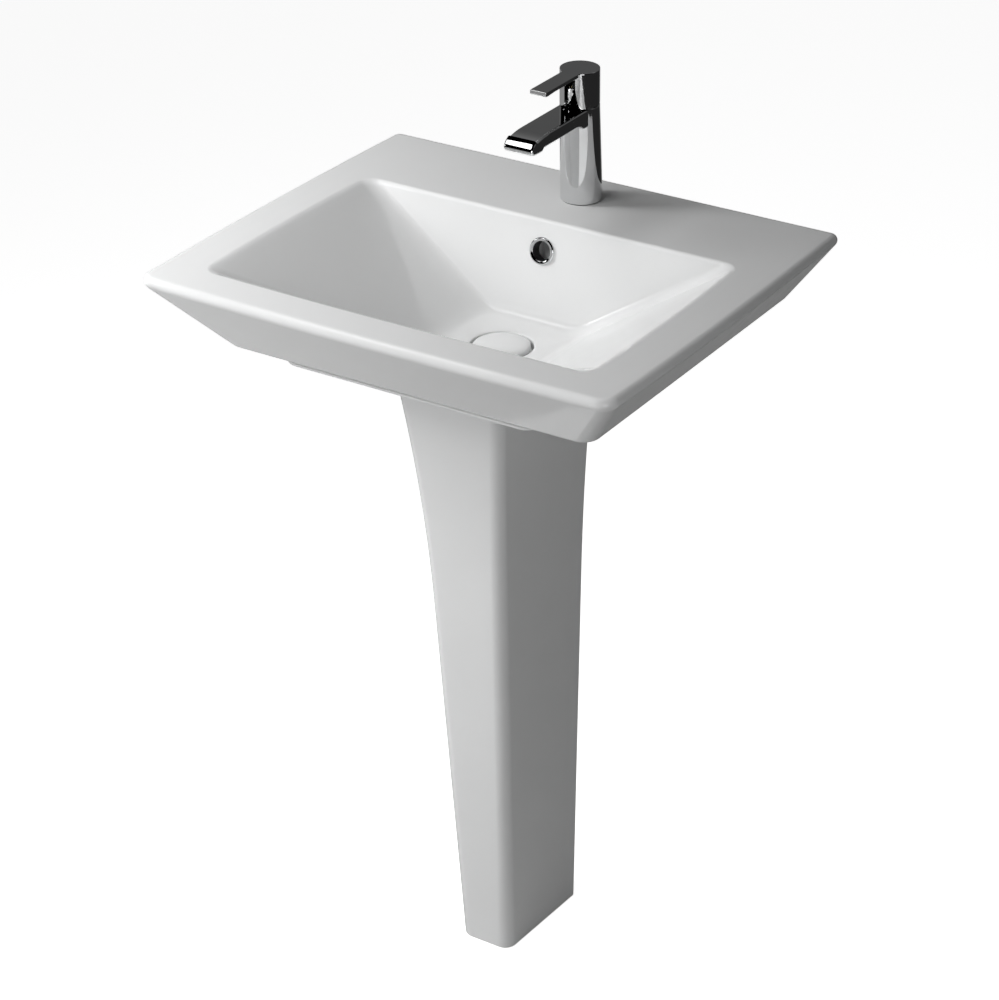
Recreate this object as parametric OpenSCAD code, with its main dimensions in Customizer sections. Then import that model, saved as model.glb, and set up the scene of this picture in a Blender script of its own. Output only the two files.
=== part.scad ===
// Pedestal sink: a rectangular china basin on a slim tapered pedestal, with a single-lever
// mixer tap, a push plug under a china cap, and a bottle trap.
// Millimetres. +Z is up, +Y points to the wall, and X = 0 is the middle of the basin.
// The origin lies on the floor, 245 mm in front of the wall.

/* [Basin] */
// Width of the basin
basin_w = 580; // [520:5:700]
// Depth of the basin, from the wall to its front edge
basin_d = 483; // [470:1:560]
// Height of the rim above the floor
rim_height = 870; // [800:5:920]
// Thickness of the rim and of the tap deck
rim_t = 13; // [11:0.5:18]
// Corner radius at the front of the rim
rim_r = 18; // [12:1:40]
// Corner radius at the back of the rim
rim_back_r = 9; // [6:1:16]
// Outward bow of the rim's front and side edges
rim_bow = 4; // [0:0.5:5]
// Rounding of the rim's upper edge
rim_round = 7; // [2:0.5:7]
// Wall thickness of the china
china_t = 9; // [7:0.5:11]

/* [Apron] */
// Height of the sloping apron below the rim
apron_h = 78; // [60:1:90]
// How far the apron slopes in at each side
apron_side_in = 66; // [40:1:75]
// How far the apron slopes in at the front
apron_front_in = 70; // [50:1:90]
// Height of the raised foot around the underside opening
foot_h = 6; // [2:0.5:8]
// Width of the flat margin outside the foot, at each side
foot_margin = 66; // [50:1:75]
// Width of the foot itself
foot_w = 13; // [8:1:18]

/* [Bowl] */
// Width of the bowl at the rim
bowl_w = 476; // [440:2:500]
// Length of the bowl at the rim, front to back
bowl_d = 300; // [280:2:310]
// Distance from the basin's front edge to the bowl
front_rim = 49; // [40:1:65]
// Depth of the bowl from the rim to the edge of its floor
bowl_depth = 108; // [95:1:120]
// Corner radius of the bowl
bowl_r = 16; // [12:1:40]
// Width of the bowl's floor
floor_w = 132; // [110:2:160]
// Length of the bowl's floor, front to back
floor_d = 128; // [110:2:140]
// Distance from the wall to the middle of the drain
drain_from_wall = 225; // [215:1:235]
// Fall of the floor towards the drain
floor_fall = 4; // [2:0.5:6]

/* [Overflow] */
// Outside diameter of the overflow ring
overflow_ring_d = 31; // [28:0.5:34]
// Diameter of the overflow hole in the china
overflow_hole_d = 25; // [22:0.5:26]
// Depth of the overflow below the rim
overflow_drop = 33; // [28:1:40]

/* [Waste] */
// Diameter of the drain hole
drain_hole_d = 46; // [44:0.5:48]
// Diameter of the recess round the plug cap
recess_d = 70; // [68:0.5:74]
// Depth of the recess below the floor
recess_h = 9; // [8:0.5:11]
// Diameter of the china plug cap
cap_d = 63; // [56:0.5:65]
// Diameter of the waste's flange
flange_d = 64; // [60:0.5:66]
// Outside diameter of the waste's threaded tube
waste_d = 41.9; // [40:0.1:43]
// Inside diameter of the waste's tube
waste_bore_d = 36; // [34:0.5:37]
// Height of the waste below its flange
waste_len = 88; // [80:1:100]
// Travel of the push plug
plug_travel = 9; // [6:0.5:10]

/* [Pedestal] */
// Width of the pedestal's front at the floor
ped_front_w = 66; // [62:1:90]
// Width of the pedestal's back at the floor
ped_back_w = 80; // [76:1:110]
// Depth of the pedestal at the floor
ped_base_d = 139; // [130:1:160]
// Width of the pedestal at its top
ped_top_w = 135; // [130:1:150]
// Depth of the pedestal at its top
ped_top_d = 198; // [190:1:210]
// Part of the top width that the flare adds on each side
ped_flare = 11; // [6:0.5:14]
// Part of the top depth that the flare adds at the front
ped_front_flare = 14; // [8:0.5:18]
// Height at which the flare starts
ped_flare_z = 460; // [400:5:560]
// Distance from the wall to the pedestal's back
ped_from_wall = 137; // [130:1:145]
// Radius of the pedestal's front corners
ped_r = 14; // [10:0.5:18]
// Wall thickness of the pedestal
ped_t = 9; // [8:0.5:10]

/* [Mixer tap] */
// Distance from the wall to the middle of the tap hole
tap_from_wall = 61; // [58:1:64]
// Diameter of the tap hole
tap_hole_d = 35; // [33:0.5:37]
// Diameter of the tap's body at the deck
tap_base_d = 46.5; // [45:0.5:52]
// Diameter of the tap's body and handle at the top
tap_top_d = 43.8; // [43:0.2:46]
// Height of the body from the deck to the handle's joint
tap_body_h = 111; // [108:1:130]
// How far the body leans forward
tap_lean = 3.5; // [0:0.5:5]
// Height of the handle above the body
handle_h = 41; // [40:0.5:45]
// Reach of the spout from the tap hole's middle to its tip
spout_reach = 128; // [115:1:150]
// Width of the spout
spout_w = 36; // [32:0.5:38]
// Thickness of the spout
spout_t = 14; // [13:0.5:16]
// Width of the lever
lever_w = 20; // [14:0.5:26]
// Reach of the lever in front of the handle's axis
lever_reach = 85; // [70:1:100]
// Thickness of the lever
lever_t = 4.5; // [3.5:0.5:6]
// Angle by which the lever lifts
lift_angle = 18; // [12:1:18]
// Angle by which the handle turns to each side
turn_angle = 45; // [30:1:60]
// Diameter of the cartridge
cartridge_d = 28; // [27:0.5:29]

/* [Trap] */
// Outside diameter of the waste pipe
pipe_d = 32; // [30:0.5:33]
// Diameter of the trap's bottle
bottle_d = 60; // [58:1:66]
// Depth of the outlet pipe below the end of the waste
outlet_drop = 53; // [50:1:90]
// Depth of the trap's bottle below the outlet
bottle_drop = 62; // [50:1:80]
// Diameter of the wall flange
wall_flange_d = 70; // [60:1:80]

/* [Fixings] */
// Spacing of the two wall bolt holes
wall_bolt_pitch = 280; // [240:5:280]
// Diameter of the wall bolt holes
wall_bolt_d = 14; // [10:0.5:16]
// Depth of the wall bolt holes below the rim
wall_bolt_drop = 55; // [40:1:62]
// Diameter of the floor screw holes
floor_screw_d = 7; // [5:0.5:8]
// Thickness of the lugs that the floor screws hold
lug_t = 12; // [8:1:18]

/* [Hidden] */
$fn = 64;
EPS = 0.01;
// Level play between pieces that only touch
GAP = 0.15;
// Radial play of a running fit and of a threaded or pressed fit
RUN = 0.06;
THREAD = 0.05;
ARC_STEPS = 6;
SIDE_STEPS = 6;

wall_y = basin_d / 2 + 3.5;
front_y = wall_y - basin_d;
rim_low = rim_height - rim_t;
apron_low = rim_low - apron_h;
apron_step = 3;
foot_low = apron_low - foot_h;
foot_x = basin_w / 2 - apron_side_in - foot_margin;
foot_front = front_y + apron_front_in + 4;
foot_r = 20;

bowl_front = front_y + front_rim;
bowl_back = bowl_front + bowl_d;
floor_edge_z = rim_height - bowl_depth;
drain_y = wall_y - drain_from_wall;
drain_z = floor_edge_z - floor_fall;
floor_front = drain_y - floor_d / 2;
floor_back = drain_y + floor_d / 2;
floor_r = 20;
recess_z = drain_z - recess_h;
floor_under = recess_z - china_t;
boss_r = drain_hole_d / 2 + 13;
boss_h = 25;
boss_low = recess_z - boss_h;

wall_lean = atan((bowl_back - floor_back) / bowl_depth);
overflow_z = rim_height - overflow_drop;
overflow_y = bowl_back - overflow_drop * tan(wall_lean);
duct_w = 26;
duct_t = 12;
duct_wall = 8;
duct_near = china_t + 4;
duct_z = boss_low + duct_wall;

ped_h = floor_under;
ped_back = wall_y - ped_from_wall;
ped_lip = 8;
pad_margin = 5;
pad_h = 52;
pad_w = 16;

tap_y = wall_y - tap_from_wall;
axis_y = tap_y - tap_lean;
seal_t = 1;
body_low = rim_height + seal_t;
joint_z = rim_height + tap_body_h;
top_z = joint_z + handle_h;
tap_r = tap_top_d / 2;
joint_gap = 1.2;
skirt_low = joint_z + joint_gap;
handle_wall = 1.8;
neck_r = tap_r - handle_wall - 2.1;
neck_top = joint_z + handle_h - 19;
pivot_z = neck_top - 3;
cart_r = cartridge_d / 2;
cart_sink = 24;
cart_low = joint_z - cart_sink;
cart_top = joint_z + 4;
nut_r = cart_r + 1.2;
nut_top = cart_top + 9;
turret_r = cart_r - 5;
turret_top = pivot_z + 2.5;
slot_half = 6.8;
spout_low = joint_z - spout_t;
spout_tip = tap_y - spout_reach;
outlet_tilt = 18;
lip_z = joint_z - spout_t + 3.5;
outlet_l = 21.5;
heel_z = lip_z - outlet_l * sin(outlet_tilt);
aerator_r = 8.5;
aerator_depth = 4.5;
aerator_y = spout_tip + 10.5;
aerator_z = lip_z - 10.5 * tan(outlet_tilt);
channel_z = joint_z - 7.5;
inlet_x = 6.5;
inlet_y = tap_y - 4;
inlet_thread_r = 4.5;
inlet_thread_l = 12;
stud_r = 4;
stud_y = tap_y + 10;

cap_round = 5;
flange_t = 2.5;
waste_seal_t = 1.5;
flange_top = recess_z + waste_seal_t + flange_t;
cap_low = flange_top + 1;
waste_r = waste_d / 2;
waste_bore_r = waste_bore_d / 2;
waste_low = flange_top - waste_len;
hub_drop = 42;
hub_z = flange_top - hub_drop;
stem_r = 4;
guide_r = 7;

pipe_r = pipe_d / 2;
pipe_wall = 1.4;
bottle_r = bottle_d / 2;
bottle_t = 2.5;
stub_l = 16;
outlet_z = waste_low - outlet_drop;
bottle_up = 22;
bottle_down = 26;
bottle_top = outlet_z + bottle_up;
bottle_seam = outlet_z - bottle_down;
bottle_low = outlet_z - bottle_drop;
mouth_y = drain_y + bottle_r + stub_l;

// ---- shared shapes ----

function mix(a, b, t) = a + (b - a) * t;

// Quarter turn of an outline's corner, from angle a
function corner(c, r, a) =
    [for (i = [0:ARC_STEPS]) c + r * [cos(a + 90 * i / ARC_STEPS), sin(a + 90 * i / ARC_STEPS)]];

// Points strictly between two corners
function between(a, b, n) = n < 2 ? [] : [for (i = [1:n - 1]) mix(a, b, i / n)];

// Rounded outline, counter-clockwise from its front right corner. Its front and back may have
// different half widths (xf, xb) and corner radii (rf, rb)
function outline(xf, xb, y0, y1, rf, rb, n = 1) =
    let (
        fr = corner([xf - rf, y0 + rf], rf, -90),
        br = corner([xb - rb, y1 - rb], rb, 0),
        bl = corner([rb - xb, y1 - rb], rb, 90),
        fl = corner([rf - xf, y0 + rf], rf, 180)
    )
    concat(
        fr, between(fr[ARC_STEPS], br[0], n),
        br, between(br[ARC_STEPS], bl[0], n),
        bl, between(bl[ARC_STEPS], fl[0], n),
        fl, between(fl[ARC_STEPS], fr[0], n));

// Draws the corners of an outline in, so that its sides and front bow outwards by b. Its back
// stays straight
function bowed(points, x, y0, y1, b) =
    let (ym = (y0 + y1) / 2, yh = (y1 - y0) / 2)
    [for (p = points) let (u = p.x / x, v = (p.y - ym) / yh) [p.x - u * b * v * v, p.y - min(v, 0) * b * u * u]];

function lift(points, z) = [for (p = points) [p.x, p.y, z]];

// Closed skin over a stack of rings that have the same number of points
module loft(rings) {
    n = len(rings[0]);
    m = len(rings);
    walls = [for (j = [0:m - 2], i = [0:n - 1])
        let (a = j * n + i, b = j * n + (i + 1) % n) each [[a, a + n, b + n], [a, b + n, b]]];
    polyhedron(
        points = [for (ring = rings) each ring],
        faces = concat([[for (i = [0:n - 1]) i]], walls, [[for (i = [n - 1:-1:0]) (m - 1) * n + i]]));
}

// Upright cylinder from z0 to z1
module post(r, z0, z1, x = 0, y = 0) {
    translate([x, y, z0]) cylinder(r = r, h = z1 - z0);
}

// Upright tube from z0 to z1
module tube(r_out, r_in, z0, z1, x = 0, y = 0) {
    difference() {
        post(r_out, z0, z1, x, y);
        post(r_in, z0 - 1, z1 + 1, x, y);
    }
}

// Box given by its corners
module block(x0, x1, y0, y1, z0, z1) {
    translate([x0, y0, z0]) cube([x1 - x0, y1 - y0, z1 - z0]);
}

// Cylinder along Y from y0 to y1
module rod_y(r, y0, y1, x = 0, z = 0) {
    translate([x, y0, z]) rotate([-90, 0, 0]) cylinder(r = r, h = y1 - y0);
}

// Hexagonal nut with a round bore
module hex_nut(across, bore_r, z0, z1, x = 0, y = 0) {
    difference() {
        translate([x, y, z0]) cylinder(d = across / cos(30), h = z1 - z0, $fn = 6);
        post(bore_r, z0 - 1, z1 + 1, x, y);
    }
}

// Round slip nut with grip ribs
module slip_nut(r, bore_r, lip_r, z0, z1) {
    lip_t = 3;
    ribs = 10;
    difference() {
        union() {
            post(r, z0, z1);
            for (i = [0:ribs - 1])
                rotate([0, 0, 360 * i / ribs]) post(1.6, z0, z1, r);
        }
        post(bore_r, z0 + lip_t, z1 + 1);
        post(lip_r, z0 - 1, z1);
    }
}

// Frame on the bowl's back wall at the overflow: local Z runs up the wall, local Y into the china
module on_back_wall() {
    translate([0, overflow_y, overflow_z]) rotate([-wall_lean, 0, 0]) children();
}

// Frame at the spout's outlet: local Z points back up into the spout
module at_outlet() {
    translate([0, aerator_y, aerator_z]) rotate([-outlet_tilt, 0, 0]) children();
}

// ---- basin ----

// Half width and front of the apron's outside at height z
function apron_x(z) = mix(basin_w / 2 - apron_step, basin_w / 2 - apron_side_in, (rim_low - z) / apron_h);
function apron_y(z) = mix(front_y + apron_step, front_y + apron_front_in, (rim_low - z) / apron_h);

// One level ring of the basin's outside. Its edges are bowed at the rim and nearly straight at the apron's foot
function rim_ring(x, y0, y1, r, rb, z) =
    let (bow = rim_bow * min(1, mix(0.25, 1, (z - apron_low) / apron_h)))
    lift(bowed(outline(x, x, y0, y1, r, rb, SIDE_STEPS), x, y0, y1, bow), z);

// Ring of the apron, drawn in by its wall at the sides, the front and the back
function apron_ring(z, side = 0, front = 0, back = 0) =
    rim_ring(apron_x(z) - side, apron_y(z) + front, wall_y - back, rim_r, rim_back_r, z);

// Ring of the rim's edge, drawn in by e
function edge_ring(e, z) =
    rim_ring(basin_w / 2 - e, front_y + e, wall_y - e, rim_r - e, rim_back_r - e, z);

module basin_outside() {
    loft(concat(
        [apron_ring(apron_low), apron_ring(rim_low)],
        [edge_ring(0.13 * rim_round, mix(rim_low, rim_height - rim_round, 0.5))],
        [for (a = [0:30:90]) edge_ring(rim_round * (1 - cos(a)), rim_height - rim_round * (1 - sin(a)))]));
}

function foot_ring(inset, z) =
    lift(outline(foot_x - inset, foot_x - inset, foot_front + inset, wall_y - min(inset, china_t), foot_r, 8), z);

// Hollow below the deck and around the bowl, with its narrower mouth inside the foot
module basin_underside() {
    side_wall = china_t / cos(atan(apron_side_in / apron_h));
    front_wall = china_t / cos(atan(apron_front_in / apron_h));
    low = apron_low + china_t;
    loft([for (z = [low, rim_low]) apron_ring(z, side_wall, front_wall, china_t)]);
    loft([foot_ring(foot_w, foot_low - 1), foot_ring(foot_w, low + 1)]);
}

// Ring of the bowl's wall: t runs from 0 at the rim to 1 at the floor. The ring is grown
// outwards by g and lifted by dz
function bowl_ring(t, g, dz) =
    let (
        x = mix(bowl_w, floor_w, t) / 2 + g,
        y0 = mix(bowl_front, floor_front, t) - g,
        y1 = mix(bowl_back, floor_back, t) + g,
        r = mix(bowl_r, floor_r, t) + g
    )
    lift(bowed(outline(x, x, y0, y1, r, r, SIDE_STEPS), x, y0, y1, rim_bow * (1 - 0.9 * t)), rim_height - bowl_depth * t + dz);

module bowl_hollow() {
    x = recess_d / 2 + 2;
    dish = bowed(outline(x, x, drain_y - x, drain_y + x, 0.8 * x, 0.8 * x, SIDE_STEPS),
        x, drain_y - x, drain_y + x, 2);
    loft([
        lift(dish, drain_z), bowl_ring(1, -5, -floor_fall / 4), bowl_ring(1, 1.5, 2), bowl_ring(0.94, 0, 0),
        bowl_ring(0.06, 0, 0), bowl_ring(0, -1, -2), bowl_ring(0, 4, 0), bowl_ring(0, 4, 2)]);
}

module bowl_shell() {
    loft([
        lift([for (p = bowl_ring(1, 0, 0)) [p.x, p.y]], floor_under),
        bowl_ring(1, china_t, -china_t), bowl_ring(0, china_t, -china_t)]);
}

// Bearing pad that the pedestal carries
module bearing_pad() {
    x = ped_top_w / 2 + pad_margin;
    y0 = ped_back - ped_top_d - pad_margin;
    y1 = ped_back + pad_margin;
    high = floor_under + pad_h;
    difference() {
        loft([for (z = [floor_under, high]) lift(outline(x, x, y0, y1, 18, 8), z)]);
        loft([for (z = [floor_under - 1, high - 12])
            lift(outline(x - pad_w, x - pad_w, y0 + pad_w, y1 - pad_w, 8, 8), z)]);
    }
}

// Passage from the overflow hole down the back of the bowl and forward to the drain, grown by g
module overflow_duct(g) {
    run = (overflow_z - duct_z) / cos(wall_lean) - duct_t * 0.7;
    wide = duct_w / 2 + g;
    on_back_wall()
        block(-wide, wide, duct_near - g, duct_near + duct_t + g, -run - g, 14 + g);
    block(4 - wide, wide - 4, drain_y + drain_hole_d / 2 - 4 - g,
        floor_back + duct_near + duct_t / 2 + g, duct_z - g, duct_z + duct_t + g);
}

module basin() {
    color("white")
    difference() {
        union() {
            difference() {
                union() {
                    basin_outside();
                    loft([foot_ring(0, foot_low), foot_ring(0, apron_low + 1)]);
                }
                basin_underside();
            }
            bowl_shell();
            bearing_pad();
            post(boss_r, boss_low, recess_z, 0, drain_y);
            intersection() {
                overflow_duct(duct_wall);
                block(-basin_w, basin_w, front_y, wall_y, boss_low, rim_low + 1);
            }
        }
        bowl_hollow();
        post(recess_d / 2, recess_z, drain_z + 8, 0, drain_y);
        post(drain_hole_d / 2, boss_low - 1, recess_z + 1, 0, drain_y);
        overflow_duct(0);
        on_back_wall() rod_y(overflow_hole_d / 2, -8, duct_near + 1);
        post(tap_hole_d / 2, rim_low - 1, rim_height + 1, 0, tap_y);
        for (s = [-1, 1])
            rod_y(wall_bolt_d / 2, wall_y - china_t - 2, wall_y + 1, s * wall_bolt_pitch / 2, rim_height - wall_bolt_drop);
    }
}

// ---- pedestal ----

// Outline of the pedestal at height z, drawn in by t, with its back drawn in by tb
function ped_ring(z, t, tb) =
    let (
        u = z / ped_h,
        f = pow(max(0, z - ped_flare_z) / (ped_h - ped_flare_z), 2),
        top = ped_top_w / 2 - ped_flare,
        xf = mix(ped_front_w / 2, top, u) + ped_flare * f,
        xb = mix(ped_back_w / 2, top, u) + ped_flare * f,
        depth = mix(ped_base_d, ped_top_d - ped_front_flare, u) + ped_front_flare * f
    )
    lift(outline(xf - t, xb - t, ped_back - depth + t, ped_back - tb, ped_r - t, max(6 - t, 2)), z);

// Mouth in the pedestal's back, between its two lips
function mouth_ring(z) =
    let (xb = ped_ring(z, ped_t, ped_t)[ARC_STEPS + 1].x)
    lift(outline(xb - ped_lip, xb - ped_lip, ped_back - ped_t - 1, ped_back + 1, 2, 1), z);

module pedestal() {
    flare_steps = 4;
    levels = concat([0], [for (i = [0:flare_steps]) mix(ped_flare_z, ped_h, i / flare_steps)]);
    open_levels = concat([-1], [for (i = [1:flare_steps]) levels[i]], [ped_h + 1]);
    screw_x = (ped_back_w / 2 - ped_t) - ped_lip;
    screw_y = ped_back - ped_t - 13;
    color("white")
    difference() {
        union() {
            difference() {
                loft([for (z = levels) ped_ring(z, 0, 0)]);
                loft([for (z = open_levels) ped_ring(z, ped_t, ped_t)]);
            }
            for (s = [-1, 1])
                translate([s * screw_x, screw_y, 0]) block(-9, 9, -11, 14, 0, lug_t);
        }
        loft([for (z = open_levels) mouth_ring(z)]);
        for (s = [-1, 1])
            post(floor_screw_d / 2, -1, lug_t + 1, s * screw_x, screw_y);
    }
}

module overflow_ring() {
    flange = 2.5;
    sleeve_r = overflow_hole_d / 2 - 0.2;
    bore_r = sleeve_r - 1.3;
    color("silver")
    on_back_wall() rotate([-90, 0, 0])
        rotate_extrude()
            polygon(concat(
                [[bore_r, china_t + 3], [bore_r, -flange * 0.6]],
                [for (a = [0:30:90]) [overflow_ring_d / 2 - 2 * (1 - sin(a)) - 0, -GAP - flange + flange * (1 - cos(a))]],
                [[overflow_ring_d / 2, -GAP], [sleeve_r, -GAP], [sleeve_r, china_t + 3]]));
}

// ---- tap: body and fixings ----

// Side view of the spout, as (y, z) points
function spout_side() =
    let (
        nose = 36,
        heel = [spout_tip + outlet_l * cos(outlet_tilt), heel_z]
    )
    concat(
        [[axis_y, joint_z]],
        [for (a = [90:15:180]) [spout_tip + nose + nose * cos(a), lip_z + (joint_z - lip_z) * sin(a)]],
        [heel, heel + [4, spout_low - heel.y], [axis_y - tap_r - 12, spout_low],
            [axis_y - tap_r - 4, spout_low - 2], [axis_y - tap_r + 1, spout_low - 6], [axis_y, spout_low - 6]]);

// Neck inside the handle's skirt, drawn in at the back where the lifted skirt comes down
module tap_neck() {
    intersection() {
        union() {
            post(neck_r, joint_z - 1, neck_top - 1, 0, axis_y);
            translate([0, axis_y, neck_top - 1]) cylinder(r1 = neck_r, r2 = neck_r - 1, h = 1);
        }
        intersection_for(turn = [-turn_angle:turn_angle / 2:turn_angle])
            translate([0, axis_y, pivot_z]) rotate([0, 0, turn]) rotate([-lift_angle, 0, 0])
                cylinder(r = tap_r - handle_wall - 0.3, h = 2 * handle_h, center = true);
    }
}

module tap_body() {
    port_r = 2.6;
    waterway_r = 4;
    side_angle = 28;
    feed_z = cart_low - 3.5;
    color("silver")
    difference() {
        union() {
            hull() {
                post(tap_base_d / 2, body_low, body_low + 2, 0, tap_y);
                post(tap_r, joint_z - 2, joint_z, 0, axis_y);
            }
            translate([-spout_w / 2, 0, 0]) rotate([90, 0, 90])
                linear_extrude(spout_w) polygon(spout_side());
            tap_neck();
        }
        translate([0, axis_y, 0]) {
            post(cart_r + THREAD, cart_low, cart_top);
            post(nut_r + THREAD, cart_top, neck_top + 1);
            post(3.5, feed_z - 3.5, cart_low + 1, 0, -6);
            for (a = [-side_angle, 0, side_angle]) rotate([0, 0, a]) {
                rod_y(2.2, -18, -6, 0, feed_z);
                post(2.4, feed_z - 2, channel_z, 0, -18);
            }
            translate([0, -17, channel_z]) rotate([0, 90, 0])
                cylinder(r = 2.2, h = 17, center = true);
            rod_y(2.55, -neck_r - 1, -neck_r + 1.4, 0, index_z());
        }
        rod_y(4.2, aerator_y + 4.5, axis_y - cart_r - 2.2, 0, channel_z);
        for (s = [-1, 1]) {
            post(port_r, body_low, cart_low + 1, s * inlet_x, inlet_y);
            post(waterway_r, body_low, feed_z - 5, s * inlet_x, inlet_y);
            post(inlet_thread_r, body_low - 1, body_low + inlet_thread_l, s * inlet_x, inlet_y);
        }
        post(stud_r + THREAD, body_low - 1, body_low + 14, 0, stud_y);
        at_outlet() {
            post(aerator_r + THREAD, -2, aerator_depth);
            post(4, aerator_depth - 1, aerator_depth + 4);
        }
    }
}

// Middle of the small button on the front of the neck
function index_z() = joint_z + 16.5;

module index_button() {
    color("silver")
    rod_y(2.5, axis_y - neck_r - 0.15, axis_y - neck_r + 1.4, 0, index_z());
}

module tap_base_seal() {
    color("dimgray")
    tube(tap_base_d / 2 - 1.5, tap_hole_d / 2 + 0.5, rim_height, body_low, 0, tap_y);
}

module tap_stud() {
    color("silver")
    post(stud_r, clamp_low() - 12, body_low + 14, 0, stud_y);
}

// Underside of the stack that clamps the tap to the deck
clamp_t = 2.5;
clamp_pad_t = 3;
clamp_nut_h = 7;
function clamp_low() = rim_low - clamp_pad_t - clamp_t - clamp_nut_h;

// Horseshoe that spans the tap hole and leaves room for the two inlets
module horseshoe(r, z0, z1) {
    difference() {
        post(r, z0, z1, 0, tap_y);
        post(stud_r + 0.4, z0 - 1, z1 + 1, 0, stud_y);
        block(-inlet_x - inlet_thread_r - 2, inlet_x + inlet_thread_r + 2, tap_y - r - 1, inlet_y + inlet_thread_r + 1,
            z0 - 1, z1 + 1);
    }
}

module clamp_washer() {
    color("dimgray")
    horseshoe(tap_hole_d / 2 + 6.5, rim_low - clamp_pad_t, rim_low);
}

module clamp_plate() {
    color("silver")
    horseshoe(tap_hole_d / 2 + 6.5, rim_low - clamp_pad_t - clamp_t, rim_low - clamp_pad_t);
}

module clamp_nut() {
    color("goldenrod")
    hex_nut(13, stud_r + THREAD, clamp_low(), clamp_low() + clamp_nut_h, 0, stud_y);
}

module aerator_housing() {
    color("silver")
    at_outlet() {
        tube(aerator_r, aerator_r - 1.5, -0.5, aerator_depth);
    }
}

module aerator_insert() {
    insert_r = aerator_r - 1.5 - THREAD;
    color("whitesmoke")
    at_outlet()
        difference() {
            post(insert_r, 0.3, aerator_depth - 0.3);
            post(1, -1, 8);
            for (i = [0:5]) rotate([0, 0, 60 * i]) post(0.9, -1, 8, 2.8);
            for (i = [0:11]) rotate([0, 0, 30 * i]) post(0.9, -1, 8, 5.4);
        }
}

// ---- tap: cartridge ----

port_x = 6.5;
port_y = inlet_y - axis_y;
disc_low = cart_low + 6;
slide_low = disc_low + 4;
turret_low = slide_low + 3;
shoulder_z = cart_top - 2.3;

module at_axis() {
    translate([0, axis_y, 0]) children();
}

// The cartridge's three water ports
module ports(r, z0, z1) {
    for (s = [-1, 1]) post(r, z0, z1, s * port_x, port_y);
    post(r, z0, z1, 0, -6);
}

module cartridge_body() {
    color("whitesmoke")
    at_axis() difference() {
        post(cart_r, cart_low, cart_top);
        post(turret_r + RUN, disc_low, shoulder_z + 0.3);
        post(turret_r - 0.7 + RUN, disc_low, cart_top + 1);
        ports(2.4, cart_low - 1, disc_low + 1);
        ports(4, cart_low - 1, cart_low + 1.1);
    }
}

module cartridge_seals() {
    color("dimgray")
    at_axis() difference() {
        ports(3.95, cart_low, cart_low + 1.1);
        ports(2.9, cart_low - 1, cart_low + 2);
    }
}

module fixed_disc() {
    color("white")
    at_axis() difference() {
        post(turret_r, disc_low, slide_low);
        ports(2.2, disc_low - 1, slide_low + 1);
    }
}

module sliding_disc() {
    color("gainsboro")
    at_axis() difference() {
        post(turret_r - 0.3, slide_low, turret_low);
        post(5, slide_low - 1, slide_low + 1.2);
    }
}

module cartridge_nut() {
    color("goldenrod")
    at_axis() difference() {
        tube(nut_r, turret_r + 2, cart_top, nut_top);
        for (i = [0:2]) rotate([0, 0, 60 * i]) block(-nut_r - 1, nut_r + 1, -1.5, 1.5, nut_top - 2.5, nut_top + 1);
    }
}

pin_r = 1.5;
stem_half = 3;
stem_low = pivot_z - 10;
socket_z = top_z - lever_t - 1.5;

module turret() {
    slot_back = stem_half / cos(lift_angle) + (turret_top - pivot_z) * tan(lift_angle) + 0.3;
    color("whitesmoke")
    at_axis() difference() {
        union() {
            post(turret_r, turret_low, shoulder_z);
            post(turret_r - 0.7, turret_low, turret_top);
        }
        block(-stem_half - 0.3, stem_half + 0.3, -turret_r - 1, slot_back, stem_low - 1, turret_top + 1);
        translate([0, 0, pivot_z]) rotate([0, 90, 0]) cylinder(r = pin_r + 0.02, h = 3 * turret_r, center = true);
    }
}

module pivot_pin() {
    color("silver")
    translate([0, axis_y, pivot_z]) rotate([0, 90, 0])
        cylinder(r = pin_r, h = 2 * turret_r - 3, center = true);
}

module lever_stem() {
    color("silver")
    at_axis() difference() {
        block(-stem_half, stem_half, -stem_half, stem_half, stem_low, socket_z - 0.2);
        translate([0, 0, pivot_z]) rotate([0, 90, 0]) cylinder(r = pin_r + RUN, h = 4 * stem_half, center = true);
    }
}

// ---- tap: handle ----

screw_z = socket_z - 4;
cover_r = 2.5;

// Outline of the gap in the skirt's front, with round lower corners
function slot_front() =
    let (r = 6)
    concat(
        [for (a = [270:-15:180]) [slot_half + r + r * cos(a), skirt_low + r + r * sin(a)]],
        [[slot_half, top_z - lever_t], [-slot_half, top_z - lever_t]],
        [for (a = [0:-15:-90]) [-slot_half - r + r * cos(a), skirt_low + r + r * sin(a)]],
        [[-slot_half - r, skirt_low - 1], [slot_half + r, skirt_low - 1]]);

// Side view of the lever, as (y, z) points from the handle's axis
function lever_side() =
    let (z0 = top_z - lever_t, tip = -lever_reach)
    [[0, top_z], [tip + 6, top_z], [tip, z0 + 0.5], [tip + 1.5, z0 - 0.8], [tip + 6, z0 - 0.8], [tip + 18, z0], [0, z0]];

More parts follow.
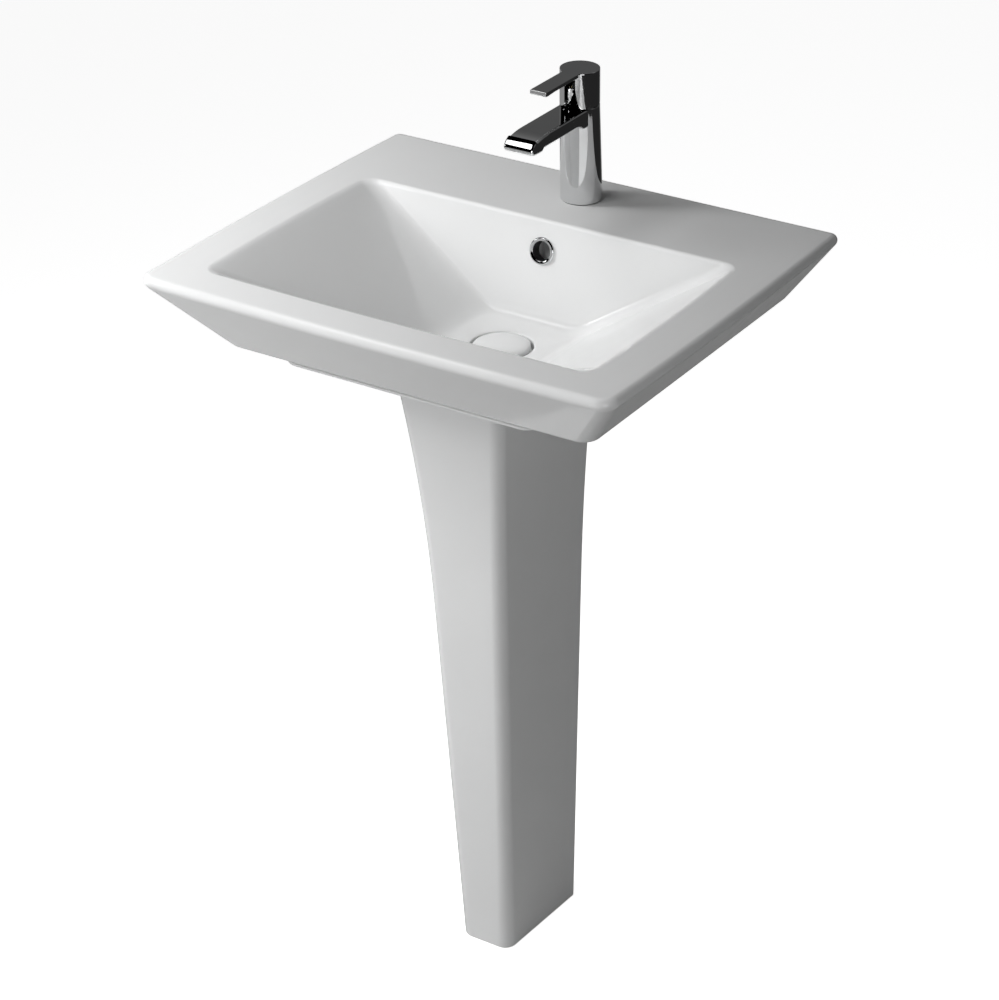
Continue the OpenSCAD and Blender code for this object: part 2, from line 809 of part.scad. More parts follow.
module lever_handle() {
    drop = lift_angle + 1.5;
    drop_y = (pivot_z - skirt_low) * tan(lift_angle / 2) + (joint_gap - 0.3) / sin(lift_angle);
    color("silver")
    at_axis() difference() {
        union() {
            difference() {
                union() {
                    post(tap_r, skirt_low, top_z - 1);
                    translate([0, 0, top_z - 1]) cylinder(r1 = tap_r, r2 = tap_r - 1, h = 1);
                }
                post(tap_r - handle_wall, skirt_low - 1, top_z - lever_t);
                translate([0, -tap_r - 3, 0]) rotate([90, 0, 0]) mirror([0, 0, 1])
                    linear_extrude(tap_r - 7) polygon(slot_front());
                translate([0, drop_y, skirt_low]) rotate([drop, 0, 0])
                    block(-tap_r - 1, tap_r + 1, 0, 2 * tap_r, -handle_h, 0);
            }
            translate([-lever_w / 2, 0, 0]) rotate([90, 0, 90]) linear_extrude(lever_w) polygon(lever_side());
            post(stem_half * 1.42 + 2.3, pivot_z + 7.5, top_z - 2);
        }
        block(-stem_half - 0.05, stem_half + 0.05, -stem_half - 0.05, stem_half + 0.05, pivot_z, socket_z);
        rod_y(2.05, 0, tap_r - 4, 0, screw_z);
        rod_y(cover_r + THREAD, tap_r - 4, tap_r + 1, 0, screw_z);
    }
}

module handle_screw() {
    color("gray")
    at_axis() difference() {
        rod_y(2, stem_half + 0.1, stem_half + 6, 0, screw_z);
        translate([0, stem_half + 7, screw_z]) rotate([90, 0, 0]) cylinder(r = 1.1, h = 4, $fn = 6);
    }
}

module screw_cover() {
    color("silver")
    at_axis() intersection() {
        rod_y(cover_r, tap_r - handle_wall, tap_r + 1, 0, screw_z);
        post(tap_r, screw_z - 4, screw_z + 4);
    }
}

// ---- waste and push plug ----

module at_drain() {
    translate([0, drain_y, 0]) children();
}

module waste_body() {
    color("silver")
    at_drain() difference() {
        union() {
            difference() {
                union() {
                    post(flange_d / 2 - 0.8, flange_top - flange_t, flange_top);
                    post(flange_d / 2, flange_top - flange_t, flange_top - 0.8);
                    post(waste_r, waste_low, flange_top - 1);
                }
                post(waste_bore_r, waste_low - 1, flange_top + 1);
            }
            post(guide_r + 2.5, hub_z, hub_z + 7);
            for (a = [0:120:240]) rotate([0, 0, a + 30])
                block(guide_r, waste_r - 1, -1.5, 1.5, hub_z, hub_z + 7);
        }
        post(guide_r + THREAD, hub_z - 1, hub_z + 8);
        for (a = [0, 180]) rotate([0, 0, a])
            block(-6, 6, waste_bore_r - 3, waste_r + 1, duct_z + 1, duct_z + duct_t - 1);
    }
}

module waste_top_seal() {
    color("dimgray")
    at_drain() tube(flange_d / 2 - 1, drain_hole_d / 2 + 1, recess_z, recess_z + waste_seal_t);
}

nut_seal_t = 4;
waste_nut_h = 14;

module waste_bottom_seal() {
    color("dimgray")
    at_drain() tube(drain_hole_d / 2 + 8, waste_r + 0.2, boss_low - nut_seal_t, boss_low);
}

module waste_nut() {
    color("goldenrod")
    at_drain() hex_nut(2 * waste_r + 14, waste_r + THREAD, boss_low - nut_seal_t - waste_nut_h, boss_low - nut_seal_t);
}

module plug_guide() {
    color("whitesmoke")
    at_drain() difference() {
        union() {
            post(guide_r, hub_z - 4, hub_z + 18);
            post(guide_r + 2, hub_z + 7, hub_z + 8.5);
        }
        post(stem_r + RUN, hub_z - 5, hub_z + 19);
    }
}

carrier_t = 3.5;

module plug_stem() {
    color("silver")
    at_drain() {
        post(stem_r, hub_z - 12, cap_low - carrier_t + 1);
        post(waste_bore_r - 1.5, cap_low - carrier_t, cap_low);
        post(3, cap_low - 1, cap_low + 4);
    }
}

module plug_seal() {
    color("dimgray")
    at_drain() tube(waste_bore_r + 6, waste_bore_r + 0.2, flange_top + 0.1, cap_low);
}

module plug_cap() {
    r = cap_d / 2;
    edge_z = cap_low + 3.5;
    color("white")
    at_drain() rotate_extrude()
        polygon(concat(
            [[3.05, cap_low], [r - 1, cap_low], [r, cap_low + 1]],
            [for (a = [0:15:75]) [r * cos(a), edge_z + cap_round * sin(a)]],
            [[0, edge_z + cap_round], [0, cap_low + 4.1], [3.05, cap_low + 4.1]]));
}

// Coil spring round the guide, under the plug's carrier
module plug_spring() {
    wire = 0.9;
    mean_r = guide_r + 1.6;
    z0 = hub_z + 8.5 + wire;
    z1 = cap_low - carrier_t - wire;
    turns = 4;
    steps = 14;
    sides = 6;
    rings = [for (i = [0:turns * steps])
        let (a = 360 * i / steps, z = mix(z0, z1, i / (turns * steps)))
        [for (k = [0:sides - 1])
            let (b = -360 * k / sides, r = mean_r + wire * cos(b))
            [r * cos(a), r * sin(a), z + wire * sin(b)]]];
    color("silver")
    at_drain() loft(rings);
}

// ---- bottle trap ----

thread_r = bottle_r - 10;
nut_wall = 5;
lip = 3;
pipe_seal_t = 2;
pipe_flange_t = 2.5;

module inlet_pipe() {
    flange_z = waste_low - pipe_seal_t - pipe_flange_t;
    color("silver")
    at_drain() difference() {
        union() {
            post(pipe_r, bottle_seam + 2, waste_low - pipe_seal_t);
            post(waste_r - 0.4, flange_z, waste_low - pipe_seal_t);
        }
        post(pipe_r - pipe_wall, bottle_seam, waste_low);
    }
}

module inlet_seal() {
    color("dimgray")
    at_drain() tube(waste_r - 0.4, pipe_r - pipe_wall + 0.4, waste_low - pipe_seal_t, waste_low);
}

module inlet_nut() {
    color("silver")
    at_drain() slip_nut(waste_r + nut_wall, waste_r + THREAD, pipe_r + 0.2,
        waste_low - pipe_seal_t - pipe_flange_t - lip, waste_low + 11);
}

module bottle_body() {
    color("silver")
    at_drain() difference() {
        union() {
            post(bottle_r, bottle_seam, bottle_top - 1);
            post(bottle_r - 1, bottle_seam, bottle_top);
            post(bottle_r - bottle_t + 1, bottle_seam - 10, bottle_seam + 1);
            post(thread_r, bottle_top - 1, bottle_top + 12);
            rod_y(thread_r, 0, mouth_y - drain_y, 0, outlet_z);
        }
        post(bottle_r - 2 * bottle_t, bottle_seam - 11, bottle_top - bottle_t);
        post(pipe_r + 0.3, bottle_top - bottle_t - 1, bottle_top + 13);
        rod_y(pipe_r - pipe_wall, 0, mouth_y - drain_y + 1, 0, outlet_z);
    }
}

module bottle_seal() {
    color("dimgray")
    at_drain() tube(thread_r, pipe_r + 0.05, bottle_top + 12, bottle_top + 12 + pipe_seal_t);
}

module bottle_nut() {
    high = bottle_top + 12 + pipe_seal_t + lip;
    color("silver")
    at_drain() translate([0, 0, high]) mirror([0, 0, 1])
        slip_nut(thread_r + nut_wall, thread_r + THREAD, pipe_r + 0.2, 0, high - bottle_top - 1);
}

module bottle_cup() {
    skirt = 12;
    color("silver")
    at_drain() difference() {
        union() {
            post(bottle_r + 1.5, bottle_seam - skirt, bottle_seam - GAP);
            post(bottle_r, bottle_low + 6, bottle_seam - skirt + 1);
            translate([0, 0, bottle_low]) cylinder(r1 = bottle_r - 6, r2 = bottle_r, h = 6);
        }
        post(bottle_r - bottle_t + 1 + THREAD, bottle_seam - skirt, bottle_seam + 1);
        post(bottle_r - 2 * bottle_t, bottle_low + 6, bottle_seam);
        translate([0, 0, bottle_low + bottle_t]) cylinder(r1 = bottle_r - 8, r2 = bottle_r - 2 * bottle_t, h = 6 - bottle_t + EPS);
    }
}

module cup_seal() {
    color("dimgray")
    at_drain() tube(bottle_r - bottle_t + 1, bottle_r - 2 * bottle_t, bottle_seam - 12, bottle_seam - 10);
}

// Frame at the mouth of the bottle's outlet: local Z runs to the wall
module at_mouth() {
    translate([0, mouth_y, outlet_z]) rotate([-90, 0, 0]) children();
}

module outlet_seal() {
    color("dimgray")
    at_mouth() tube(thread_r, pipe_r - pipe_wall + 0.4, 0, pipe_seal_t);
}

module outlet_pipe() {
    color("silver")
    at_mouth() difference() {
        union() {
            post(pipe_r, pipe_seal_t, wall_y - mouth_y);
            post(thread_r, pipe_seal_t, pipe_seal_t + pipe_flange_t);
        }
        post(pipe_r - pipe_wall, 0, wall_y - mouth_y + 1);
    }
}

module outlet_nut() {
    color("silver")
    at_mouth() mirror([0, 0, 1])
        translate([0, 0, -pipe_seal_t - pipe_flange_t - lip])
            slip_nut(thread_r + nut_wall, thread_r + THREAD, pipe_r + 0.2, 0, pipe_seal_t + pipe_flange_t + lip + 10);
}

module wall_flange() {
    depth = 9;
    r = wall_flange_d / 2;
    color("silver")
    translate([0, wall_y, outlet_z]) rotate([90, 0, 0]) rotate_extrude()
        polygon(concat(
            [[r, 0]],
            [for (a = [0:15:90]) [pipe_r + 4 + (r - pipe_r - 4) * cos(a), 1.5 + (depth - 1.5) * sin(a)]],
            [[pipe_r + GAP, depth], [pipe_r + GAP, depth - 2]],
            [for (a = [90:-15:0]) [pipe_r + 4 + (r - pipe_r - 6) * cos(a), (depth - 2) * sin(a)]]));
}

basin();
pedestal();
overflow_ring();
tap_body();
tap_base_seal();
tap_stud();
clamp_washer();
clamp_plate();
clamp_nut();
aerator_housing();
aerator_insert();
index_button();
cartridge_body();
cartridge_seals();
fixed_disc();
sliding_disc();
cartridge_nut();
turret();
pivot_pin();
lever_stem();
lever_handle();
handle_screw();
screw_cover();
waste_body();
waste_top_seal();
waste_bottom_seal();
waste_nut();
plug_guide();
plug_cap();
plug_stem();
plug_seal();
plug_spring();
inlet_pipe();
inlet_nut();
inlet_seal();
bottle_body();
bottle_nut();
bottle_seal();
bottle_cup();
cup_seal();
outlet_pipe();
outlet_nut();
outlet_seal();
wall_flange();
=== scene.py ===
import bmesh
import bpy
import math
from collections import namedtuple
from mathutils import Matrix, Vector


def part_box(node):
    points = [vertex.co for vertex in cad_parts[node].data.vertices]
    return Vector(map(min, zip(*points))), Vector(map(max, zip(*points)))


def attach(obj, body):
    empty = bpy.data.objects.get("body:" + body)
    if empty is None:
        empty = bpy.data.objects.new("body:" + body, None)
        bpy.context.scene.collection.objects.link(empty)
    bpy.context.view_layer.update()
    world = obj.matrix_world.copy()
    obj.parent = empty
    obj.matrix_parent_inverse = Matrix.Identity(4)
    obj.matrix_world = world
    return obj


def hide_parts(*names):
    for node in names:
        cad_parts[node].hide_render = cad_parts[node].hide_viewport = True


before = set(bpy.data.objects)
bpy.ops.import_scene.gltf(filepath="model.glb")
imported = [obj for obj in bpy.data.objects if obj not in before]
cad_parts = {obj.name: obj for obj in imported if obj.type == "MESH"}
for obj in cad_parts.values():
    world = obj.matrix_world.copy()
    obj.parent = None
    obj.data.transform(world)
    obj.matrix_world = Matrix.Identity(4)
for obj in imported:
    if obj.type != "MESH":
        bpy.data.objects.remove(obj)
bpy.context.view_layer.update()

bl_info = {
    "name": "Pedestal Sink",
    "version": (1, 0, 0),
    "blender": (4, 5, 0),
    "location": "3D View > Sidebar > Pedestal Sink",
    "description": "Builds a china pedestal sink with a single-lever mixer tap around its CAD frame",
    "category": "Add Mesh",
}

MM = 0.001
BASIN_LOW, BASIN_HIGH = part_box("basin")
PED_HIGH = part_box("pedestal")[1]
TAP_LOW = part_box("tap_body")[0]
HANDLE_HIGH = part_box("lever_handle")[1]
CAP_LOW, CAP_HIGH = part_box("plug_cap")
WALL_Y = BASIN_HIGH[1]
RIM_Z = BASIN_HIGH[2]
DECK_UNDERSIDE = RIM_Z - 13 * MM

MERGE = 0.002 * MM

# A loop has four corners and four sides, each cut into these parts.
CORNER_PARTS = 10
SIDE_PARTS = 10
LOOP_POINTS = 4 * (CORNER_PARTS + SIDE_PARTS)

# How far apart the loops of a skin lie while they are bridged.
STACK_STEP = 0.2

# A level loop with rounded corners. A round loop has the same radius as its half width.
Loop = namedtuple("Loop", "x_front x_back y_front y_back r_front r_back z bow")


# ---- settings ----

def length(name, description, default):
    return bpy.props.FloatProperty(name=name, description=description, default=default, min=0.0,
                                   subtype="DISTANCE", unit="LENGTH", precision=4)


def tint(name, description, default):
    return bpy.props.FloatVectorProperty(name=name, description=description, default=default, size=3,
                                         subtype="COLOR", min=0.0, max=1.0)


def power(name, description, default):
    return bpy.props.FloatProperty(name=name, description=description, default=default, min=0.0, unit="POWER")


def angle(name, description, degrees):
    return bpy.props.FloatProperty(name=name, description=description, default=math.radians(degrees),
                                   subtype="ANGLE", unit="ROTATION")


class BasinSizes(bpy.types.PropertyGroup):
    width: length("Width", "Width of the basin's rim", BASIN_HIGH[0] - BASIN_LOW[0])
    rim_round: length("Rim Rounding", "Rounding of the rim's upper edge", 7 * MM)
    rim_corner: length("Front Corner", "Corner radius at the front of the rim", 18 * MM)
    bow: length("Bow", "Outward bow of the rim's front and side edges", 4 * MM)
    bowl_width: length("Bowl Width", "Width of the bowl at the rim", 476 * MM)
    bowl_length: length("Bowl Length", "Length of the bowl at the rim", 300 * MM)
    bowl_corner: length("Bowl Corner", "Corner radius of the bowl", 16 * MM)
    bowl_depth: length("Bowl Depth", "Depth from the rim to the edge of the bowl's floor", 108 * MM)
    wall: length("China Thickness", "Wall thickness of the china", 9 * MM)


class TapSizes(bpy.types.PropertyGroup):
    base: length("Base Radius", "Radius of the tap's body at the deck", 23.25 * MM)
    top: length("Top Radius", "Radius of the tap's body and handle", 21.9 * MM)
    spout_width: length("Spout Width", "Width of the spout", 36 * MM)
    lever_width: length("Lever Width", "Width of the lever", 20 * MM)
    edge: length("Edge Rounding", "Rounding of the tap's plated edges", 0.7 * MM)


class FinishSettings(bpy.types.PropertyGroup):
    glaze: tint("Glaze", "Colour of the glazed china", (0.83, 0.835, 0.835))
    bisque: tint("Bisque", "Colour of the unglazed china", (0.72, 0.70, 0.66))
    plate: tint("Plate", "Colour of the plated metal", (0.80, 0.805, 0.81))
    floor: tint("Floor", "Colour of the studio floor", (0.70, 0.70, 0.70))


# ---- bench work ----

def clear_bench():
    if bpy.context.object and bpy.context.object.mode != "OBJECT":
        bpy.ops.object.mode_set(mode="OBJECT")
    bpy.ops.object.select_all(action="DESELECT")


def take(piece):
    """Makes the piece the only selected object."""
    clear_bench()
    piece.select_set(True)
    bpy.context.view_layer.objects.active = piece


def open_mesh(piece, kind="VERT"):
    """Opens the piece's mesh with nothing selected."""
    take(piece)
    bpy.ops.object.mode_set(mode="EDIT")
    bpy.ops.mesh.select_mode(type=kind)
    bpy.ops.mesh.select_all(action="DESELECT")


def close_mesh():
    bpy.ops.object.mode_set(mode="OBJECT")


def pick_all():
    bpy.ops.mesh.select_all(action="SELECT")


def pick(piece, kind, wanted):
    """Selects the open mesh's verts or edges that the test wants."""
    bpy.ops.mesh.select_mode(type={"verts": "VERT", "edges": "EDGE"}[kind])
    bpy.ops.mesh.select_all(action="DESELECT")
    mesh = bmesh.from_edit_mesh(piece.data)
    for part in getattr(mesh, kind):
        if wanted(part):
            part.select_set(True)
    mesh.select_flush_mode()
    bmesh.update_edit_mesh(piece.data)


def settle(piece, name=None):
    """Puts the piece's place into its mesh."""
    take(piece)
    bpy.ops.object.transform_apply(location=True, rotation=True, scale=True)
    if name:
        piece.name = name
        piece.data.name = name
    return piece


def face_out(piece):
    """Turns the piece's faces outwards."""
    open_mesh(piece)
    pick_all()
    bpy.ops.mesh.normals_make_consistent(inside=False)
    close_mesh()


def apply_modifier(piece, kind, **settings):
    take(piece)
    bpy.ops.object.modifier_add(type=kind)
    made = piece.modifiers[-1]
    for name, value in settings.items():
        setattr(made, name, value)
    bpy.ops.object.modifier_apply(modifier=made.name)


def smooth(piece, limit):
    """Shades the piece smooth up to a limit in degrees, and keeps its flats flat."""
    take(piece)
    bpy.ops.object.shade_smooth_by_angle(angle=math.radians(limit), keep_sharp_edges=False)
    apply_modifier(piece, "WEIGHTED_NORMAL", keep_sharp=True, weight=60)


def ease_edges(piece, width, limit, parts):
    """Rounds every edge of the piece that is sharper than the limit in degrees."""
    apply_modifier(piece, "BEVEL", width=width, segments=parts, limit_method="ANGLE", angle_limit=math.radians(limit))


def fit_together(piece, tool, how):
    """Cuts the piece by the tool, or joins them, and uses the tool up."""
    apply_modifier(piece, "BOOLEAN", operation=how, object=tool, solver="MANIFOLD")
    bpy.data.objects.remove(tool, do_unlink=True)


def cut(piece, tool):
    fit_together(piece, tool, "DIFFERENCE")


def weld(piece, tool):
    fit_together(piece, tool, "UNION")


def rod(radius, start, end, sides=48):
    """Round bar from start to end."""
    start, end = Vector(start), Vector(end)
    run = end - start
    bpy.ops.mesh.primitive_cone_add(vertices=sides, radius1=radius, radius2=radius,
                                    depth=run.length, location=(start + end) / 2,
                                    rotation=run.to_track_quat("Z", "Y").to_euler())
    return settle(bpy.context.object)


def slab(low, high, round_by=0.0, parts=3):
    """Box from its low corner to its high corner, with its edges rounded."""
    size = [b - a for a, b in zip(low, high)]
    centre = [(a + b) / 2 for a, b in zip(low, high)]
    bpy.ops.mesh.primitive_cube_add(size=1, location=centre, scale=size)
    box = settle(bpy.context.object)
    if round_by:
        open_mesh(box, "EDGE")
        pick_all()
        bpy.ops.mesh.bevel(offset=round_by, segments=parts)
        close_mesh()
    return box


def turn_about(piece, degrees, axis, centre):
    """Turns a piece's mesh about a line through centre."""
    piece.data.transform(Matrix.Translation(centre) @ Matrix.Rotation(math.radians(degrees), 4, axis)
                         @ Matrix.Translation(-Vector(centre)))


def drawn(points):
    """Flat face drawn point by point, ready to be extruded or spun."""
    bpy.ops.mesh.primitive_plane_add(size=1, location=Vector(points[0]))
    face = bpy.context.object
    bpy.ops.object.mode_set(mode="EDIT")
    bpy.ops.mesh.select_mode(type="VERT")
    pick_all()
    bpy.ops.mesh.merge(type="CENTER")
    for start, end in zip(points, points[1:]):
        bpy.ops.mesh.extrude_region_move(TRANSFORM_OT_translate={"value": Vector(end) - Vector(start)})
    pick_all()
    bpy.ops.mesh.edge_face_add()
    close_mesh()
    return settle(face)


def pushed(points, by):
    """Solid made by pushing a flat face, drawn point by point, along by."""
    block = drawn(points)
    open_mesh(block, "FACE")
    pick_all()
    bpy.ops.mesh.extrude_region_move(TRANSFORM_OT_translate={"value": by})
    close_mesh()
    face_out(block)
    return block


def turned(name, profile, centre, axis=(0, 0, 1), steps=96):
    """Body of revolution. The profile is a closed outline drawn in the plane of the axis."""
    body = drawn(profile)
    open_mesh(body)
    pick_all()
    bpy.ops.mesh.delete(type="ONLY_FACE")
    pick_all()
    bpy.ops.mesh.spin(steps=steps, angle=math.tau, center=centre, axis=axis)
    pick_all()
    bpy.ops.mesh.remove_doubles(threshold=MERGE)
    bpy.ops.mesh.dissolve_degenerate(threshold=MERGE)
    bpy.ops.mesh.delete_loose()
    close_mesh()
    settle(body, name)
    face_out(body)
    return body


def arc(centre, radius, start, end, parts):
    """Points on an arc in a plane, angles in degrees."""
    return [(centre[0] + radius * math.cos(math.radians(start + (end - start) * i / parts)),
             centre[1] + radius * math.sin(math.radians(start + (end - start) * i / parts)))
            for i in range(parts + 1)]


# ---- loops of china ----

def mix(a, b, t):
    return a + (b - a) * t


def mix_loops(a, b, t):
    return Loop(*(mix(p, q, t) for p, q in zip(a, b)))


def inset(loop, by):
    least = 0.5 * MM
    return loop._replace(x_front=loop.x_front - by, x_back=loop.x_back - by, y_front=loop.y_front + by,
                         y_back=loop.y_back - by, r_front=max(loop.r_front - by, least),
                         r_back=max(loop.r_back - by, least))


def ring(radius, y, z):
    return Loop(radius, radius, y - radius, y + radius, radius, radius, z, 0.0)


def eased(a, corner, b, parts):
    """Loops that round off the corner between a and b."""
    return [mix_loops(mix_loops(a, corner, i / parts), mix_loops(corner, b, i / parts), i / parts)
            for i in range(parts + 1)]


def lay_loop(loop, number):
    """Wire loop, with its number kept on its points."""
    middle = (loop.y_front + loop.y_back) / 2
    half = (loop.y_back - loop.y_front) / 2
    if loop.r_front >= loop.x_front - 0.01 * MM:
        bpy.ops.mesh.primitive_circle_add(vertices=LOOP_POINTS, radius=loop.x_front, fill_type="NOTHING",
                                          location=(0, middle, loop.z))
        wire = bpy.context.object
    else:
        bpy.ops.mesh.primitive_plane_add(size=2, location=(0, middle, loop.z))
        wire = bpy.context.object
        bpy.ops.object.mode_set(mode="EDIT")
        bpy.ops.transform.resize(value=(loop.x_front, half, 1))
        if loop.x_back != loop.x_front:
            pick(wire, "verts", lambda v: v.co.y > 0)
            bpy.ops.transform.resize(value=(loop.x_back / loop.x_front, 1, 1))
        for wanted, radius in ((lambda v: v.co.y < 0.2 * half and abs(v.co.x) > 0.5 * loop.x_front, loop.r_front),
                               (lambda v: v.co.y > 0.999 * half, loop.r_back)):
            pick(wire, "verts", wanted)
            bpy.ops.mesh.bevel(offset=radius, segments=CORNER_PARTS, affect="VERTICES")
        pick_all()
        bpy.ops.mesh.delete(type="ONLY_FACE")
        mesh = bmesh.from_edit_mesh(wire.data)
        sides = {edge.index for edge in sorted(mesh.edges, key=lambda e: -e.calc_length())[:4]}
        pick(wire, "edges", lambda e: e.index in sides)
        bpy.ops.mesh.subdivide(number_cuts=SIDE_PARTS - 1)
        close_mesh()
        if loop.bow:
            for point in wire.data.vertices:
                u, v = point.co.x / loop.x_front, point.co.y / half
                point.co.x -= u * loop.bow * v * v
                point.co.y -= min(v, 0) * loop.bow * u * u
    mark = wire.data.attributes.new("loop", "INT", "POINT")
    for item in mark.data:
        item.value = number
    return wire


def skin(name, loops, closed=False):
    """Bridges a stack of loops into one closed skin, around to the first loop or with end faces.

    The loops are bridged one above another, because level loops would bridge crossed, and then put in place.
    """
    wires = [lay_loop(loop._replace(z=number * STACK_STEP), number) for number, loop in enumerate(loops)]
    clear_bench()
    for wire in wires:
        wire.select_set(True)
    bpy.context.view_layer.objects.active = wires[0]
    bpy.ops.object.join()
    shell = settle(bpy.context.object, name)
    open_mesh(shell, "EDGE")
    last = len(loops) - 1

    def pick_loops(*numbers):
        mark = bmesh.from_edit_mesh(shell.data).verts.layers.int["loop"]
        pick(shell, "edges", lambda e: e.verts[0][mark] == e.verts[1][mark] and e.verts[0][mark] in numbers)

    for lower, upper in [(i, i + 1) for i in range(last)] + ([(last, 0)] if closed else []):
        pick_loops(lower, upper)
        bpy.ops.mesh.bridge_edge_loops()
    if not closed:
        for end in (0, last):
            pick_loops(end)
            bpy.ops.mesh.edge_face_add()
    close_mesh()
    for point, mark in zip(shell.data.vertices, shell.data.attributes["loop"].data):
        point.co.z = loops[mark.value].z
    shell.data.attributes.remove(shell.data.attributes["loop"])
    face_out(shell)
    return shell


# ---- basin ----

# How far each part's front and sides stand in from the rim.
APRON_STEP = 3 * MM
APRON_FRONT_IN = 70 * MM
APRON_SIDE_IN = 66 * MM
FOOT_FRONT_IN = 74 * MM
FOOT_SIDE_IN = 132 * MM
BOWL_FRONT_IN = 49 * MM

APRON_DROP = 78 * MM
BACK_CORNER = 9 * MM
SIDE_WALL = 11.6 * MM
FRONT_WALL = 12.7 * MM

# Heights from the floor.
HEM_Z = 779.2 * MM
FOOT_Z = 773 * MM
RECESS_Z = 749 * MM
FLOOR_UNDER = 740 * MM
DUCT_Z = 732 * MM
DRAIN_LOW = 724 * MM

# The bowl's floor, and the drain in it.
FLOOR_HALF = 66 * MM
FLOOR_FRONT = -44 * MM
FLOOR_BACK = 84 * MM
FLOOR_CORNER = 20 * MM
DRAIN_Y = 20 * MM

# The overflow's hole in the bowl's leaning back, and the passage behind it in the hole's own directions.
BACK_SLOPE = 27 / 108
WALL_LEAN = math.degrees(math.atan(BACK_SLOPE))
OVERFLOW_DROP = 33 * MM
OVERFLOW = Vector((0, 111 * MM - OVERFLOW_DROP * BACK_SLOPE, 837 * MM))
HOLE_PLACE = Matrix.Translation(OVERFLOW) @ Matrix.Rotation(math.radians(-WALL_LEAN), 4, "X")
INTO_HOLE = Matrix.Rotation(math.radians(-WALL_LEAN), 3, "X") @ Vector((0, 1, 0))
PASSAGE_HALF = 13 * MM
PASSAGE_NEAR = 13 * MM
PASSAGE_FAR = 25 * MM
PASSAGE_UP = 14 * MM

BOLT_X = 140 * MM
BOLT_Z = 815 * MM


def basin_shapes(sizes):
    """The basin's outlines at a height or depth: the rim's edge, the apron, the foot and the bowl."""
    half = sizes.width / 2
    front = BASIN_LOW[1]

    def edge(by, z):
        return inset(Loop(half, half, front, WALL_Y, sizes.rim_corner, BACK_CORNER, z, sizes.bow), by)

    def apron(z, by=0.0):
        t = (DECK_UNDERSIDE - z) / APRON_DROP
        x = mix(half - APRON_STEP, half - APRON_SIDE_IN, t)
        y = mix(front + APRON_STEP, front + APRON_FRONT_IN, t)
        return inset(Loop(x, x, y, WALL_Y, sizes.rim_corner - APRON_STEP * (1 - t), BACK_CORNER, z,
                          sizes.bow * min(1, 1 - t)), by)

    def foot(by, z):
        x = half - FOOT_SIDE_IN - by
        back = WALL_Y - max(0.6 * MM, min(by, sizes.wall))
        return Loop(x, x, front + FOOT_FRONT_IN + by, back, 20 * MM, 8 * MM, z, 0.0)

    def bowl(t, grow=0.0, up=0.0):
        x = mix(sizes.bowl_width / 2, FLOOR_HALF, t) + grow
        r = max(mix(sizes.bowl_corner, FLOOR_CORNER, t) + grow, 2 * MM)
        y_front = mix(front + BOWL_FRONT_IN, FLOOR_FRONT, t) - grow
        y_back = mix(front + BOWL_FRONT_IN + sizes.bowl_length, FLOOR_BACK, t) + grow
        return Loop(x, x, y_front, y_back, r, r, RIM_Z - sizes.bowl_depth * t + up, sizes.bow * (1 - 0.9 * t))

    return edge, apron, foot, bowl


